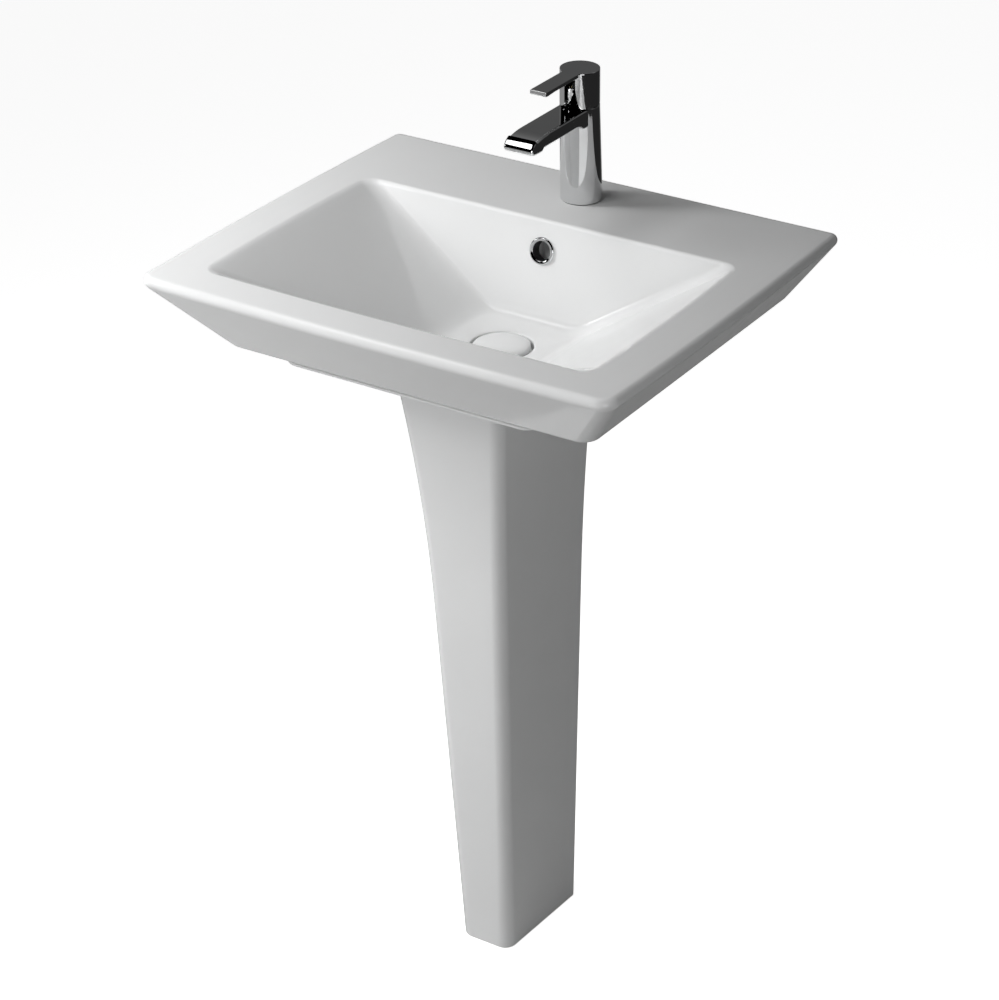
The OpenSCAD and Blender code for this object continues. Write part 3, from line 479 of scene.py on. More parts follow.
def basin_loops(sizes):
    """The basin's loops: from the drain up the bowl, over the rim, down the apron, and back under the bowl."""
    edge, apron, foot, bowl = basin_shapes(sizes)
    dish_z = RIM_Z - sizes.bowl_depth - 4 * MM
    underside = 788 * MM

    def cavity(z):
        loop = apron(z)
        return loop._replace(x_front=loop.x_front - SIDE_WALL, x_back=loop.x_back - SIDE_WALL,
                             y_front=loop.y_front + FRONT_WALL, y_back=WALL_Y - sizes.wall)

    def drain_ring(radius, z):
        return ring(radius * MM, DRAIN_Y, z)

    drain = [drain_ring(23, DRAIN_LOW), drain_ring(23, RECESS_Z - 0.8 * MM)]
    recess = eased(drain_ring(33, RECESS_Z), drain_ring(35, RECESS_Z), drain_ring(35, RECESS_Z + 2 * MM), 3)
    lip = eased(drain_ring(35, dish_z - 1.8 * MM), drain_ring(35.2, dish_z), drain_ring(38, dish_z + 0.3 * MM), 5)
    floor = [mix_loops(bowl(1, -24 * MM, -2.6 * MM), bowl(1, -10 * MM, -1.0 * MM), i / 2)._replace(
        r_front=r, r_back=r) for i, r in enumerate((30 * MM, 22 * MM, 14 * MM))]
    hollow = eased(floor[-1], bowl(1, 0.4 * MM), bowl(0.9, 0), 7)
    wall = [bowl(t) for t in (0.7, 0.5, 0.3, 0.15)]
    shoulder = eased(bowl(0.045), bowl(0), bowl(0, 4.5 * MM), 7)
    bank = [edge(9 * MM, RIM_Z)]
    rim = [edge(sizes.rim_round * (1 - out), RIM_Z - sizes.rim_round * (1 - up))
           for out, up in arc((0, 0), 1, 90, 0, 6)]
    under_rim = [edge(by * MM, DECK_UNDERSIDE + z * MM) for by, z in ((0.2, 4.6), (0.8, 3.1), (1.7, 1.6))]
    slope = [apron(z * MM) for z in (857, 853, 835, 810)]
    hem = eased(apron(783.5 * MM), apron(HEM_Z), apron(HEM_Z, 2.6 * MM), 5)
    foot_out = [foot(by * MM, z * MM) for by, z in (
        (3.4, 779.2), (2.8, 777.8), (1.8, 776.9), (0.4, 776.2), (0, 775.5), (0, 774.1), (0.6, 773.3), (2, 773))]
    foot_in = eased(foot(10 * MM, FOOT_Z), foot(13 * MM, FOOT_Z), foot(13 * MM, FOOT_Z + 3 * MM), 3)
    inside = [foot(13 * MM, underside), cavity(underside), cavity(DECK_UNDERSIDE - 4 * MM)]
    ceiling = eased(inside[-1], cavity(DECK_UNDERSIDE), inset(cavity(DECK_UNDERSIDE), 4 * MM), 2)
    shell = [bowl(0.037, 13 * MM)._replace(z=DECK_UNDERSIDE), bowl(0.075, 9.5 * MM, -9 * MM),
             bowl(0.5, 9 * MM, -9 * MM), bowl(1, 9 * MM, -9 * MM),
             bowl(1, 3 * MM)._replace(z=FLOOR_UNDER + 3 * MM), bowl(1)._replace(z=FLOOR_UNDER)]
    boss = [drain_ring(37, FLOOR_UNDER), drain_ring(36, FLOOR_UNDER - 1 * MM),
            drain_ring(36, DRAIN_LOW + 1 * MM), drain_ring(35, DRAIN_LOW)]
    return (drain + recess + lip + floor + hollow[1:] + wall + shoulder + bank + rim + under_rim + slope + hem
            + foot_out + foot_in + inside + ceiling[1:] + shell + boss)


def bearing_pad(bowl):
    """Foot under the bowl that the pedestal carries, cut off inside the bowl's wall."""
    outer = Loop(72.5 * MM, 72.5 * MM, -95 * MM, 113 * MM, 18 * MM, 8 * MM, FLOOR_UNDER, 0.0)
    inner = Loop(56.5 * MM, 56.5 * MM, -79 * MM, 97 * MM, 8 * MM, 8 * MM, FLOOR_UNDER - 5 * MM, 0.0)
    pad = skin("bearing_pad", eased(inset(outer, 1.5 * MM), outer, outer._replace(z=FLOOR_UNDER + 1.5 * MM), 2)
               + [outer._replace(z=792 * MM)])
    cut(pad, skin("pad_hollow", [inner, inner._replace(z=780 * MM)]))
    cut(pad, skin("pad_top", [bowl(1, 4 * MM, -5 * MM), bowl(0.4, 4 * MM, -5 * MM)]))
    return pad


def overflow_passage(grow):
    """The passage from the overflow down the back of the bowl, and its run forward to the drain."""
    run = (OVERFLOW.z - DUCT_Z) / math.cos(math.radians(WALL_LEAN)) - 8.4 * MM
    half = PASSAGE_HALF + grow
    fall = slab((-half, PASSAGE_NEAR - grow, -run - grow), (half, PASSAGE_FAR + grow, PASSAGE_UP),
                4 * MM if grow else 0)
    fall.data.transform(HOLE_PLACE)
    level_run = slab((-half + 4 * MM, DRAIN_Y + 19 * MM - grow, DUCT_Z - grow),
                     (half - 4 * MM, FLOOR_BACK + 19 * MM + grow, DUCT_Z + 12 * MM + grow), 3 * MM if grow else 0)
    return fall, level_run


class SINK_OT_basin(bpy.types.Operator):
    """Adds the china basin with its bowl, rim, apron and foot"""
    bl_idname = "sink.basin"
    bl_label = "Basin"

    def execute(self, context):
        sizes = context.scene.basin_sizes
        basin = skin("china_basin", basin_loops(sizes), closed=True)
        weld(basin, bearing_pad(basin_shapes(sizes)[3]))
        for part in overflow_passage(8 * MM):
            weld(basin, part)
        for part in overflow_passage(0):
            cut(basin, part)
        cut(basin, rod(12.5 * MM, OVERFLOW - INTO_HOLE * 8 * MM, OVERFLOW + INTO_HOLE * 14 * MM, 64))
        cut(basin, rod(17.5 * MM, (0, TAP_Y, DECK_UNDERSIDE - MM), (0, TAP_Y, RIM_Z + MM), 64))
        for x in (-BOLT_X, BOLT_X):
            cut(basin, rod(7 * MM, (x, WALL_Y - 11 * MM, BOLT_Z), (x, WALL_Y + MM, BOLT_Z)))
        smooth(basin, 32)
        paint(basin, "glazed_china")
        to_hole, margin = HOLE_PLACE.inverted(), 0.2 * MM

        def in_passage(centre):
            """Tells whether a face lies on the passage's walls behind the hole."""
            spot = to_hole @ centre
            return (abs(spot.x) < PASSAGE_HALF + margin and abs(spot.z) < PASSAGE_UP + margin
                    and PASSAGE_NEAR - margin < spot.y < PASSAGE_FAR + margin)

        # Painted shade: the passage's walls behind the overflow hole are coloured black for the shade inside it.
        paint_shade_black(basin, in_passage)
        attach(basin, "fixture")
        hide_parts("basin")
        return {"FINISHED"}


# ---- pedestal ----

PED_TOP = PED_HIGH[2]
PED_BACK = PED_HIGH[1]
FLARE_Z = 460 * MM
LUG_X = 23 * MM
LUG_Y = 86 * MM


def pedestal_loop(z, wall=0.0, back_wall=0.0):
    """Outline of the pedestal at a height, drawn in by its wall."""
    up = z / PED_TOP
    flare = (max(0, z - FLARE_Z) / (PED_TOP - FLARE_Z)) ** 2
    half_at_top = 56.5 * MM
    front = mix(33 * MM, half_at_top, up) + 11 * MM * flare
    back = mix(40 * MM, half_at_top, up) + 11 * MM * flare
    depth = mix(139 * MM, 184 * MM, up) + 14 * MM * flare
    return Loop(front - wall, back - wall, PED_BACK - depth + wall, PED_BACK - back_wall, 14 * MM - wall,
                max(6 * MM - wall, 2 * MM), z, 0.0)


class SINK_OT_pedestal(bpy.types.Operator):
    """Adds the tapered pedestal with its open back and floor lugs"""
    bl_idname = "sink.pedestal"
    bl_label = "Pedestal"

    def execute(self, context):
        wall = context.scene.basin_sizes.wall
        heights = [FLARE_Z * i / 4 for i in range(4)] + [mix(FLARE_Z, PED_TOP, i / 12) for i in range(13)]
        foot = pedestal_loop(0)
        top = pedestal_loop(PED_TOP)
        outside = (eased(inset(foot, 1.6 * MM), foot, pedestal_loop(1.6 * MM), 3)
                   + [pedestal_loop(z) for z in heights[1:-1]]
                   + eased(pedestal_loop(PED_TOP - 1.5 * MM), top, inset(top, 1.5 * MM), 3))
        inside = ([pedestal_loop(PED_TOP, wall - 1 * MM, wall - 1 * MM)]
                  + [pedestal_loop(z, wall, wall) for z in [PED_TOP - 1 * MM] + heights[-2:0:-1] + [1 * MM]]
                  + [pedestal_loop(0, wall - 1 * MM, wall - 1 * MM)])
        pedestal = skin("china_pedestal", outside + inside, closed=True)
        mouth = []
        for z in [-1 * MM] + heights[4:-1] + [PED_TOP + MM]:
            loop = pedestal_loop(z, wall, wall)
            half = loop.x_back - 8 * MM
            mouth.append(Loop(half, half, PED_BACK - wall - 6 * MM, PED_BACK + 3 * MM, 2 * MM, MM, z, 0.0))
        cut(pedestal, skin("mouth", mouth))
        for x in (-LUG_X, LUG_X):
            weld(pedestal, slab((x - 9 * MM, 75 * MM, 0.05 * MM), (x + 9 * MM, 100 * MM, 12 * MM), MM, 2))
        for x in (-LUG_X, LUG_X):
            cut(pedestal, rod(3.5 * MM, (x, LUG_Y, -MM), (x, LUG_Y, 13 * MM), 32))
        smooth(pedestal, 32)
        paint(pedestal, "glazed_china")
        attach(pedestal, "fixture")
        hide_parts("pedestal")
        return {"FINISHED"}


# ---- tap ----

# The tap stands on its hole in the deck, and its handle turns about an upright a little in front of that.
TAP_Y = 184 * MM
AXIS_Y = 180.5 * MM
CASTING_LOW = 873 * MM
CASTING_HIGH = 979 * MM
JOINT_Z = 981 * MM
SKIRT_LOW = 982.2 * MM
TOP_Z = HANDLE_HIGH[2]
LEVER_UNDER = TOP_Z - 4.5 * MM
SCREW_Z = 1012 * MM

# The lever lifts about the pivot, by this many degrees.
PIVOT = Vector((0, AXIS_Y, 1.0))
LIFT = 18

# The spout's tip, and its outlet, which leans forward by as much as the lever lifts.
SPOUT_TIP = 54.8 * MM
OUTLET = Vector((0, 66.5 * MM, 967.1 * MM))
OUTLET_AXIS = Matrix.Rotation(math.radians(-LIFT), 3, "X") @ Vector((0, 0, 1))

# The two hose channels, up through the body to the cartridge.
HOSE_X = 6.5 * MM
HOSE_Y = 180 * MM

# The end of the spout, over its nose and under it to the outlet, in mm behind its tip and in height.
NOSE = ((9.4, 980.05), (7.4, 979), (5.8, 977.95), (4.4, 976.85), (3.1, 975.6), (1.9, 974.2), (0.9, 972.7),
        (0.3, 971.2), (0, 969.8), (0.1, 969), (0.7, 967.6), (2.1, 965.9), (4.6, 964.8), (9, 964.3))

# The curve from the spout's underside into the body, in mm before the body's front and below the underside.
ROOT = ((14, 0), (9, 0.6), (5, 1.8), (1.5, 3.8), (-1, 6))


def upright(radius, low, high, x=0.0, y=AXIS_Y, sides=64):
    return rod(radius, (x, y, low), (x, y, high), sides)


def side_cut(points, half):
    """Solid with the side view given as (y, z) points, from -half to half across."""
    return pushed([(-half, y, z) for y, z in points], (2 * half, 0, 0))


def round_sides(block, half, by):
    """Rounds the outline edges on both sides of a side cut."""
    open_mesh(block, "EDGE")
    pick(block, "edges", lambda e: all(abs(abs(v.co.x) - half) < 0.01 * MM for v in e.verts)
         and abs(e.verts[0].co.x - e.verts[1].co.x) < MM)
    bpy.ops.mesh.bevel(offset=by, segments=3)
    close_mesh()


def spout(sizes):
    """The spout, drawn from the side: back along its top, round its nose, and home under it."""
    length_of_nose, lip = 36 * MM, 970 * MM
    low = JOINT_Z - 14 * MM
    front = AXIS_Y - sizes.top
    top = [(SPOUT_TIP + length_of_nose * (1 + along), lip + (JOINT_Z - lip) * up)
           for along, up in arc((0, 0), 1, 90, 132, 7)]
    end = [(SPOUT_TIP + y * MM, z * MM) for y, z in NOSE]
    heel = [(SPOUT_TIP + 21.65 * MM, 963.86 * MM), (SPOUT_TIP + 25.65 * MM, low)]
    root = [(front - y * MM, low - z * MM) for y, z in ROOT]
    outline = [(AXIS_Y, JOINT_Z - 0.02 * MM)] + top + end + heel + root + [(AXIS_Y, low - 6 * MM)]
    body = side_cut(outline, sizes.spout_width / 2)
    round_sides(body, sizes.spout_width / 2, 2.6 * MM)
    return body


class SINK_OT_tap_body(bpy.types.Operator):
    """Adds the tap's body with its spout, neck and outlet pocket"""
    bl_idname = "sink.tap_body"
    bl_label = "Tap Body"

    def execute(self, context):
        sizes = context.scene.tap_sizes
        e = sizes.edge
        base = ring(sizes.base, TAP_Y, TAP_LOW[2])
        mouth = ring(sizes.top, AXIS_Y, JOINT_Z)
        low, high = base._replace(z=CASTING_LOW), mouth._replace(z=CASTING_HIGH)
        body = skin("tap_casting",
                    eased(inset(base, e), base, base._replace(z=base.z + e), 3)
                    + [low] + [mix_loops(low, high, t / 4) for t in (1, 2, 3, 4)]
                    + eased(mouth._replace(z=JOINT_Z - e), mouth, inset(mouth, e), 3))
        weld(body, spout(sizes))
        neck = skin("neck", [ring(18 * MM, AXIS_Y, CASTING_HIGH), ring(18 * MM, AXIS_Y, 1002.3 * MM),
                             ring(17.3 * MM, AXIS_Y, 1003 * MM)])
        for turn in (-45, -22.5, 0, 22.5, 45):
            sleeve = upright(19.8 * MM, 959 * MM, 1041 * MM, sides=96)
            turn_about(sleeve, -LIFT, "X", PIVOT)
            turn_about(sleeve, turn, "Z", PIVOT)
            fit_together(neck, sleeve, "INTERSECT")
        weld(body, neck)
        cut(body, upright(14.05 * MM, 957 * MM, 985.1 * MM))
        cut(body, upright(15.25 * MM, 985 * MM, 1004 * MM))
        cut(body, rod(8.55 * MM, OUTLET - OUTLET_AXIS * 3 * MM, OUTLET + OUTLET_AXIS * 4.5 * MM))
        cut(body, upright(4.05 * MM, 870 * MM, 885 * MM, y=194 * MM, sides=24))
        for x in (-HOSE_X, HOSE_X):
            for radius, low_z, high_z, sides in ((4.5, 870, 883, 24), (4, 882, 948.5, 24), (2.6, 948, 958, 16)):
                cut(body, upright(radius * MM, low_z * MM, high_z * MM, x, HOSE_Y, sides))
        cut(body, rod(2.55 * MM, (0, AXIS_Y - 19 * MM, 997.5 * MM), (0, AXIS_Y - 16.6 * MM, 997.5 * MM), 32))
        smooth(body, 30)
        paint(body, "chrome_plate")
        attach(body, "fixture")
        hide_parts("tap_body")
        return {"FINISHED"}


class SINK_OT_lever(bpy.types.Operator):
    """Adds the handle: its cap, slotted skirt and flat lever"""
    bl_idname = "sink.lever"
    bl_label = "Lever Handle"

    def execute(self, context):
        sizes = context.scene.tap_sizes
        top = ring(sizes.top, AXIS_Y, TOP_Z)
        handle = skin("lever_cap", [ring(sizes.top, AXIS_Y, SKIRT_LOW), top._replace(z=1.0)]
                      + eased(top._replace(z=TOP_Z - 1 * MM), top, inset(top, 1 * MM), 4))
        cut(handle, upright(20.1 * MM, SKIRT_LOW - MM, LEVER_UNDER, sides=80))
        half, r = 6.8 * MM, 6 * MM
        right = arc((half + r, SKIRT_LOW + r), r, 270, 180, 8)
        slot = right + [(half, LEVER_UNDER), (-half, LEVER_UNDER)] + [(-x, z) for x, z in reversed(right)]
        slot = [(half + r, SKIRT_LOW - MM)] + slot + [(-half - r, SKIRT_LOW - MM)]
        cut(handle, pushed([(x, AXIS_Y - 25 * MM, z) for x, z in slot], (0, 15 * MM, 0)))
        hinge = (0, AXIS_Y + 5.73 * MM, SKIRT_LOW)
        wedge = slab((-23 * MM, hinge[1], SKIRT_LOW - 30 * MM), (23 * MM, hinge[1] + 44 * MM, SKIRT_LOW))
        turn_about(wedge, LIFT + 1.5, "X", hinge)
        cut(handle, wedge)
        ease_edges(handle, 0.35 * MM, 50, 2)
        tip, root, lip_z = AXIS_Y - 85 * MM, AXIS_Y - 6 * MM, LEVER_UNDER - 0.8 * MM
        side = [(root, TOP_Z - 0.01 * MM), (tip + 0.4 * MM, TOP_Z - 0.01 * MM), (tip, LEVER_UNDER + 0.7 * MM),
                (tip + 1.5 * MM, lip_z), (tip + 6 * MM, lip_z),
                (tip + 18 * MM, LEVER_UNDER + 0.01 * MM), (root, LEVER_UNDER + 0.01 * MM)]
        blade = side_cut(side, sizes.lever_width / 2)
        ease_edges(blade, 0.6 * MM, 25, 3)
        weld(handle, blade)
        weld(handle, upright(6.56 * MM, 1007.5 * MM, 1020 * MM, sides=48))
        cut(handle, slab((-3.05 * MM, AXIS_Y - 3.05 * MM, 1.0), (3.05 * MM, AXIS_Y + 3.05 * MM, 1016 * MM)))
        cut(handle, rod(2.05 * MM, (0, AXIS_Y, SCREW_Z), (0, AXIS_Y + 18 * MM, SCREW_Z), 24))
        cut(handle, rod(2.55 * MM, (0, AXIS_Y + 17.9 * MM, SCREW_Z), (0, AXIS_Y + 23 * MM, SCREW_Z), 32))
        smooth(handle, 30)
        paint(handle, "chrome_plate")
        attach(handle, "lever")
        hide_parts("lever_handle")
        return {"FINISHED"}


# ---- trim in the bowl ----

class SINK_OT_bowl_trim(bpy.types.Operator):
    """Adds the domed plug cap and the overflow's plated ring"""
    bl_idname = "sink.bowl_trim"
    bl_label = "Bowl Trim"

    def execute(self, context):
        high, low, half = CAP_HIGH[2], CAP_LOW[2], CAP_HIGH[0]
        rise, fullness = 5 * MM, 2.3
        dome = [(half * r, high - rise + rise * (1 - r ** fullness) ** (1 / fullness))
                for r in [math.sin(math.radians(a)) for a in range(0, 90, 5)] + [0.9995]]
        foot = [(half, high - rise - 0.6 * MM), (half, low + 0.9 * MM), (half - 0.3 * MM, low + 0.3 * MM),
                (half - MM, low)]
        socket = [(3.1 * MM, low), (3.1 * MM, low + 4.1 * MM), (0, low + 4.1 * MM)]
        cap = turned("plug_dome", [(r, DRAIN_Y, z) for r, z in dome + foot + socket], (0, DRAIN_Y, 0))
        smooth(cap, 35)
        paint(cap, "glazed_china")
        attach(cap, "plug")
        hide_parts("plug_cap")

        bore, sleeve, rim, proud = 11.0 * MM, 12.3 * MM, 15.5 * MM, 2.5 * MM
        seat, deep_end, rounding = -0.15 * MM, 12 * MM, 0.9 * MM
        lip = [(rim - 2 * MM * (1 - out), seat - proud * up) for out, up in arc((0, 0), 1, 90, 0, 6)]
        throat = [(bore + rounding * (1 - up), -proud * 0.55 - rounding * out)
                  for out, up in arc((0, 0), 1, 90, 0, 5)]
        outline = [(bore, deep_end)] + throat + lip + [(sleeve, seat), (sleeve, deep_end)]
        collar = turned("overflow_collar", [(r, y, 0) for r, y in outline], (0, 0, 0), (0, 1, 0), 64)
        collar.data.transform(HOLE_PLACE)
        smooth(collar, 35)
        paint(collar, "chrome_plate")

        def in_bore(centre):
            """Tells whether a face lies on the collar's bore, past its rounded throat."""
            from_mouth = centre - OVERFLOW
            deep = from_mouth.dot(INTO_HOLE)
            return deep > -1.3 * MM and (from_mouth - INTO_HOLE * deep).length < bore + 0.4 * MM

        # Painted shade: the plated bore is coloured black for the shade deep in the hole.
        paint_shade_black(collar, in_bore)
        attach(collar, "fixture")
        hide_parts("overflow_ring")
        return {"FINISHED"}


# ---- finishes ----

def effect(name, sockets, wire):
    """Node group with named inputs and outputs, built once and used by several finishes."""
    group = bpy.data.node_groups.new(name, "ShaderNodeTree")
    for label, way, default in sockets:
        socket = group.interface.new_socket(name=label, in_out=way, socket_type="NodeSocketFloat")
        if default is not None:
            socket.default_value = default
    wire(group, group.nodes.new("NodeGroupInput"), group.nodes.new("NodeGroupOutput"))
    return group


def node(tree, kind, **settings):
    made = tree.nodes.new(kind)
    for name, value in settings.items():
        setattr(made, name, value)
    return made


def feed(tree, socket, value):
    """Sets a socket to a number or a colour, or links it to the socket that gives its value."""
    if isinstance(value, (int, float)):
        socket.default_value = value
    elif isinstance(value, tuple):
        socket.default_value = (*value, 1.0)
    else:
        tree.links.new(value, socket)


def on_object(tree):
    return node(tree, "ShaderNodeTexCoord").outputs["Object"]


def split(tree, place):
    """The three coordinates of a place."""
    made = node(tree, "ShaderNodeSeparateXYZ")
    feed(tree, made.inputs[0], place)
    return made.outputs


def noise(tree, scale, detail, roughness=0.5, place=None):
    made = node(tree, "ShaderNodeTexNoise")
    for label, value in (("Detail", detail), ("Roughness", roughness), ("Scale", scale),
                         ("Vector", place or on_object(tree))):
        feed(tree, made.inputs[label], value)
    return made.outputs["Fac"]


def fit_range(tree, value, low, high, to_low=0.0, to_high=1.0):
    """Fits a value from low and high to two other ends, with an eased run between them."""
    made = node(tree, "ShaderNodeMapRange", interpolation_type="SMOOTHSTEP")
    for label, end in (("Value", value), ("From Min", low), ("From Max", high), ("To Min", to_low),
                       ("To Max", to_high)):
        feed(tree, made.inputs[label], end)
    return made.outputs["Result"]


def combine(tree, operation, a, b):
    made = node(tree, "ShaderNodeMath", operation=operation)
    feed(tree, made.inputs[0], a)
    feed(tree, made.inputs[1], b)
    return made.outputs[0]


def blend_tints(tree, amount, a, b):
    made = node(tree, "ShaderNodeMix", data_type="RGBA")
    for number, value in ((0, amount), (6, a), (7, b)):
        feed(tree, made.inputs[number], value)
    return made.outputs[2]


def wire_mottle(tree, given, out):
    """Soft uneven patches."""
    patches = noise(tree, given.outputs["Scale"], 3.0, 0.55)
    feed(tree, out.inputs["Mask"], fit_range(tree, patches, 0.32, 0.68))


def wire_ripple(tree, given, out):
    """Shallow waves of a fired or polished surface, with a finer grain on them."""
    broad = noise(tree, given.outputs["Scale"], 1.0)
    fine = noise(tree, combine(tree, "MULTIPLY", given.outputs["Scale"], 9.0), 2.0)
    grain = combine(tree, "MULTIPLY", fine, given.outputs["Grain"])
    feed(tree, out.inputs["Height"], combine(tree, "ADD", broad, grain))


def wire_specks(tree, given, out):
    """Sparse small specks."""
    cells = node(tree, "ShaderNodeTexVoronoi")
    feed(tree, cells.inputs["Vector"], on_object(tree))
    feed(tree, cells.inputs["Scale"], given.outputs["Scale"])
    dots = fit_range(tree, cells.outputs["Distance"], 0.16, 0.06)
    chance = node(tree, "ShaderNodeSeparateColor")
    feed(tree, chance.inputs[0], cells.outputs["Color"])
    rare = fit_range(tree, chance.outputs[0], 0.86, 0.88)
    feed(tree, out.inputs["Mask"], combine(tree, "MULTIPLY", dots, rare))


def wire_hands(tree, given, out):
    """Streaky film left by water and hands."""
    drawn_out = node(tree, "ShaderNodeMapping")
    drawn_out.inputs["Scale"].default_value = (1.0, 1.0, 0.35)
    feed(tree, drawn_out.inputs["Vector"], on_object(tree))
    streaks = noise(tree, given.outputs["Scale"], 5.0, 0.62, drawn_out.outputs[0])
    feed(tree, out.inputs["Mask"], fit_range(tree, streaks, 0.42, 0.72))


def build_effects():
    scale, grain, mask, height = (("Scale", "INPUT", 10.0), ("Grain", "INPUT", 0.1), ("Mask", "OUTPUT", None),
                                  ("Height", "OUTPUT", None))
    effect("soft_mottle", [scale, mask], wire_mottle)
    effect("surface_ripple", [scale, grain, height], wire_ripple)
    effect("fine_specks", [scale, mask], wire_specks)
    effect("hand_film", [scale, mask], wire_hands)


def use_effect(tree, name, **inputs):
    made = node(tree, "ShaderNodeGroup", node_tree=bpy.data.node_groups[name])
    for label, value in inputs.items():
        made.inputs[label].default_value = value
    return made.outputs[0]


def finish(name, roughness, metallic=0.0, ior=1.5):
    """New material with its shader's plain numbers set."""
    made = bpy.data.materials.new(name)
    made.use_nodes = True
    shader = made.node_tree.nodes["Principled BSDF"]
    shader.inputs["Roughness"].default_value = roughness
    shader.inputs["Metallic"].default_value = metallic
    shader.inputs["IOR"].default_value = ior
    return made.node_tree, shader


def relief(tree, shader, height, distance):
    bump = node(tree, "ShaderNodeBump")
    feed(tree, bump.inputs["Distance"], distance)
    feed(tree, bump.inputs["Height"], height)
    feed(tree, shader.inputs["Normal"], bump.outputs[0])


def rippled(tree, shader, scale, grain, distance):
    relief(tree, shader, use_effect(tree, "surface_ripple", Scale=scale, Grain=grain), distance)


def film_range(tree, scale, clean, filmed):
    """Roughness that runs from clean to filmed with the hand film."""
    return fit_range(tree, use_effect(tree, "hand_film", Scale=scale), 0.0, 1.0, clean, filmed)


def mottled(tree, scale, a, b):
    """Colour that drifts between two tints in soft patches."""
    return blend_tints(tree, use_effect(tree, "soft_mottle", Scale=scale), a, b)


def deeper(colour, share):
    return tuple(part * share for part in colour)


def make_glazed_china(settings):
    """White glaze over fired clay, left bare where the piece stands on the floor or meets the wall."""
    tree, shader = finish("glazed_china", 0.07, ior=1.52)
    place = split(tree, on_object(tree))
    rough_edge = combine(tree, "MULTIPLY", noise(tree, 90.0, 3.0), 1.2 * MM)
    height = combine(tree, "SUBTRACT", place["Z"], rough_edge)
    depth = combine(tree, "ADD", place["Y"], rough_edge)
    bare = combine(tree, "MAXIMUM", fit_range(tree, height, 1.0 * MM, 0.3 * MM),
                   fit_range(tree, depth, WALL_Y + 0.1 * MM, WALL_Y + 0.7 * MM))
    pooled = mottled(tree, 7.0, deeper(settings.glaze, 0.985), tuple(settings.glaze))
    specks = combine(tree, "MULTIPLY", use_effect(tree, "fine_specks", Scale=260.0), 0.10)
    specked = blend_tints(tree, specks, pooled, (0.45, 0.43, 0.40))
    bisque = mottled(tree, 220.0, tuple(settings.bisque), deeper(settings.bisque, 0.88))
    feed(tree, shader.inputs["Base Color"], blend_tints(tree, bare, specked, bisque))
    gloss = film_range(tree, 16.0, 0.055, 0.10)
    feed(tree, shader.inputs["Roughness"], fit_range(tree, bare, 0.0, 1.0, gloss, 0.75))
    rippled(tree, shader, 34.0, 0.02, 0.05 * MM)


def make_chrome_plate(settings):
    """Bright plating with a faint film of water marks."""
    tree, shader = finish("chrome_plate", 0.04, metallic=1.0)
    feed(tree, shader.inputs["Base Color"], mottled(tree, 45.0, deeper(settings.plate, 0.97), tuple(settings.plate)))
    feed(tree, shader.inputs["Roughness"], film_range(tree, 70.0, 0.025, 0.085))
    rippled(tree, shader, 60.0, 0.01, 0.003 * MM)


def make_turned_metal(name, light, dark, roughness):
    """Machined metal with fine turning lines."""
    tree, shader = finish(name, roughness, metallic=1.0)
    wave = node(tree, "ShaderNodeTexWave", wave_type="BANDS", bands_direction="Z")
    for label, value in (("Scale", 420.0), ("Distortion", 1.5), ("Detail", 2.0), ("Vector", on_object(tree))):
        feed(tree, wave.inputs[label], value)
    lines = wave.outputs["Fac"]
    feed(tree, shader.inputs["Base Color"], mottled(tree, 90.0, dark, light))
    feed(tree, shader.inputs["Roughness"], fit_range(tree, lines, 0.0, 1.0, roughness * 0.75, roughness * 1.3))
    relief(tree, shader, lines, 0.02 * MM)


def make_moulded(name, light, dark, roughness, scale, depth, ior=1.5):
    """Moulded or pressed material with a fine even grain."""
    tree, shader = finish(name, roughness, ior=ior)
    feed(tree, shader.inputs["Base Color"], mottled(tree, scale / 6, dark, light))
    feed(tree, shader.inputs["Roughness"], film_range(tree, scale / 4, roughness * 0.85, roughness * 1.2))
    rippled(tree, shader, scale, 0.3, depth)


FINISH_OF_SLOT = {
    "china": "glazed_china", "chrome": "chrome_plate", "rubber": "black_rubber", "steel": "turned_steel",
    "brass": "turned_brass", "white_plastic": "white_nylon", "disc_ceramic": "lapped_ceramic",
}


def paint(piece, name):
    piece.data.materials.clear()
    piece.data.materials.append(bpy.data.materials[name])


def paint_shade_black(piece, wanted):
    """Paints shade: gives the black material to the piece's faces whose centre the test wants, standing for the shade
    inside a hollow.
    """
    piece.data.materials.append(bpy.data.materials["black_rubber"])
    for face in piece.data.polygons:
        if wanted(face.center):
            face.material_index = 1


class SINK_OT_finishes(bpy.types.Operator):
    """Makes the finishes and gives the CAD parts theirs"""
    bl_idname = "sink.finishes"
    bl_label = "Finishes"

    def execute(self, context):
        build_effects()
        settings = context.scene.finish_settings
        make_glazed_china(settings)
        make_chrome_plate(settings)
        make_turned_metal("turned_steel", (0.56, 0.57, 0.58), (0.47, 0.48, 0.49), 0.3)
        make_turned_metal("turned_brass", (0.76, 0.58, 0.28), (0.66, 0.48, 0.22), 0.28)
        # This black finish is real rubber on the CAD parts and painted shade in the overflow's hollows.
        make_moulded("black_rubber", (0.028, 0.028, 0.029), (0.017, 0.017, 0.018), 0.62, 700.0, 0.03 * MM)
        make_moulded("white_nylon", (0.80, 0.80, 0.78), (0.76, 0.76, 0.74), 0.38, 500.0, 0.015 * MM)
        make_moulded("lapped_ceramic", (0.74, 0.73, 0.70), (0.68, 0.67, 0.64), 0.22, 900.0, 0.004 * MM, 1.7)
        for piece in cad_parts.values():
            for slot in piece.material_slots:
                name = slot.material.name.split(".")[0]
                if name in FINISH_OF_SLOT:
                    slot.material = bpy.data.materials[FINISH_OF_SLOT[name]]
        return {"FINISHED"}


# ---- studio ----

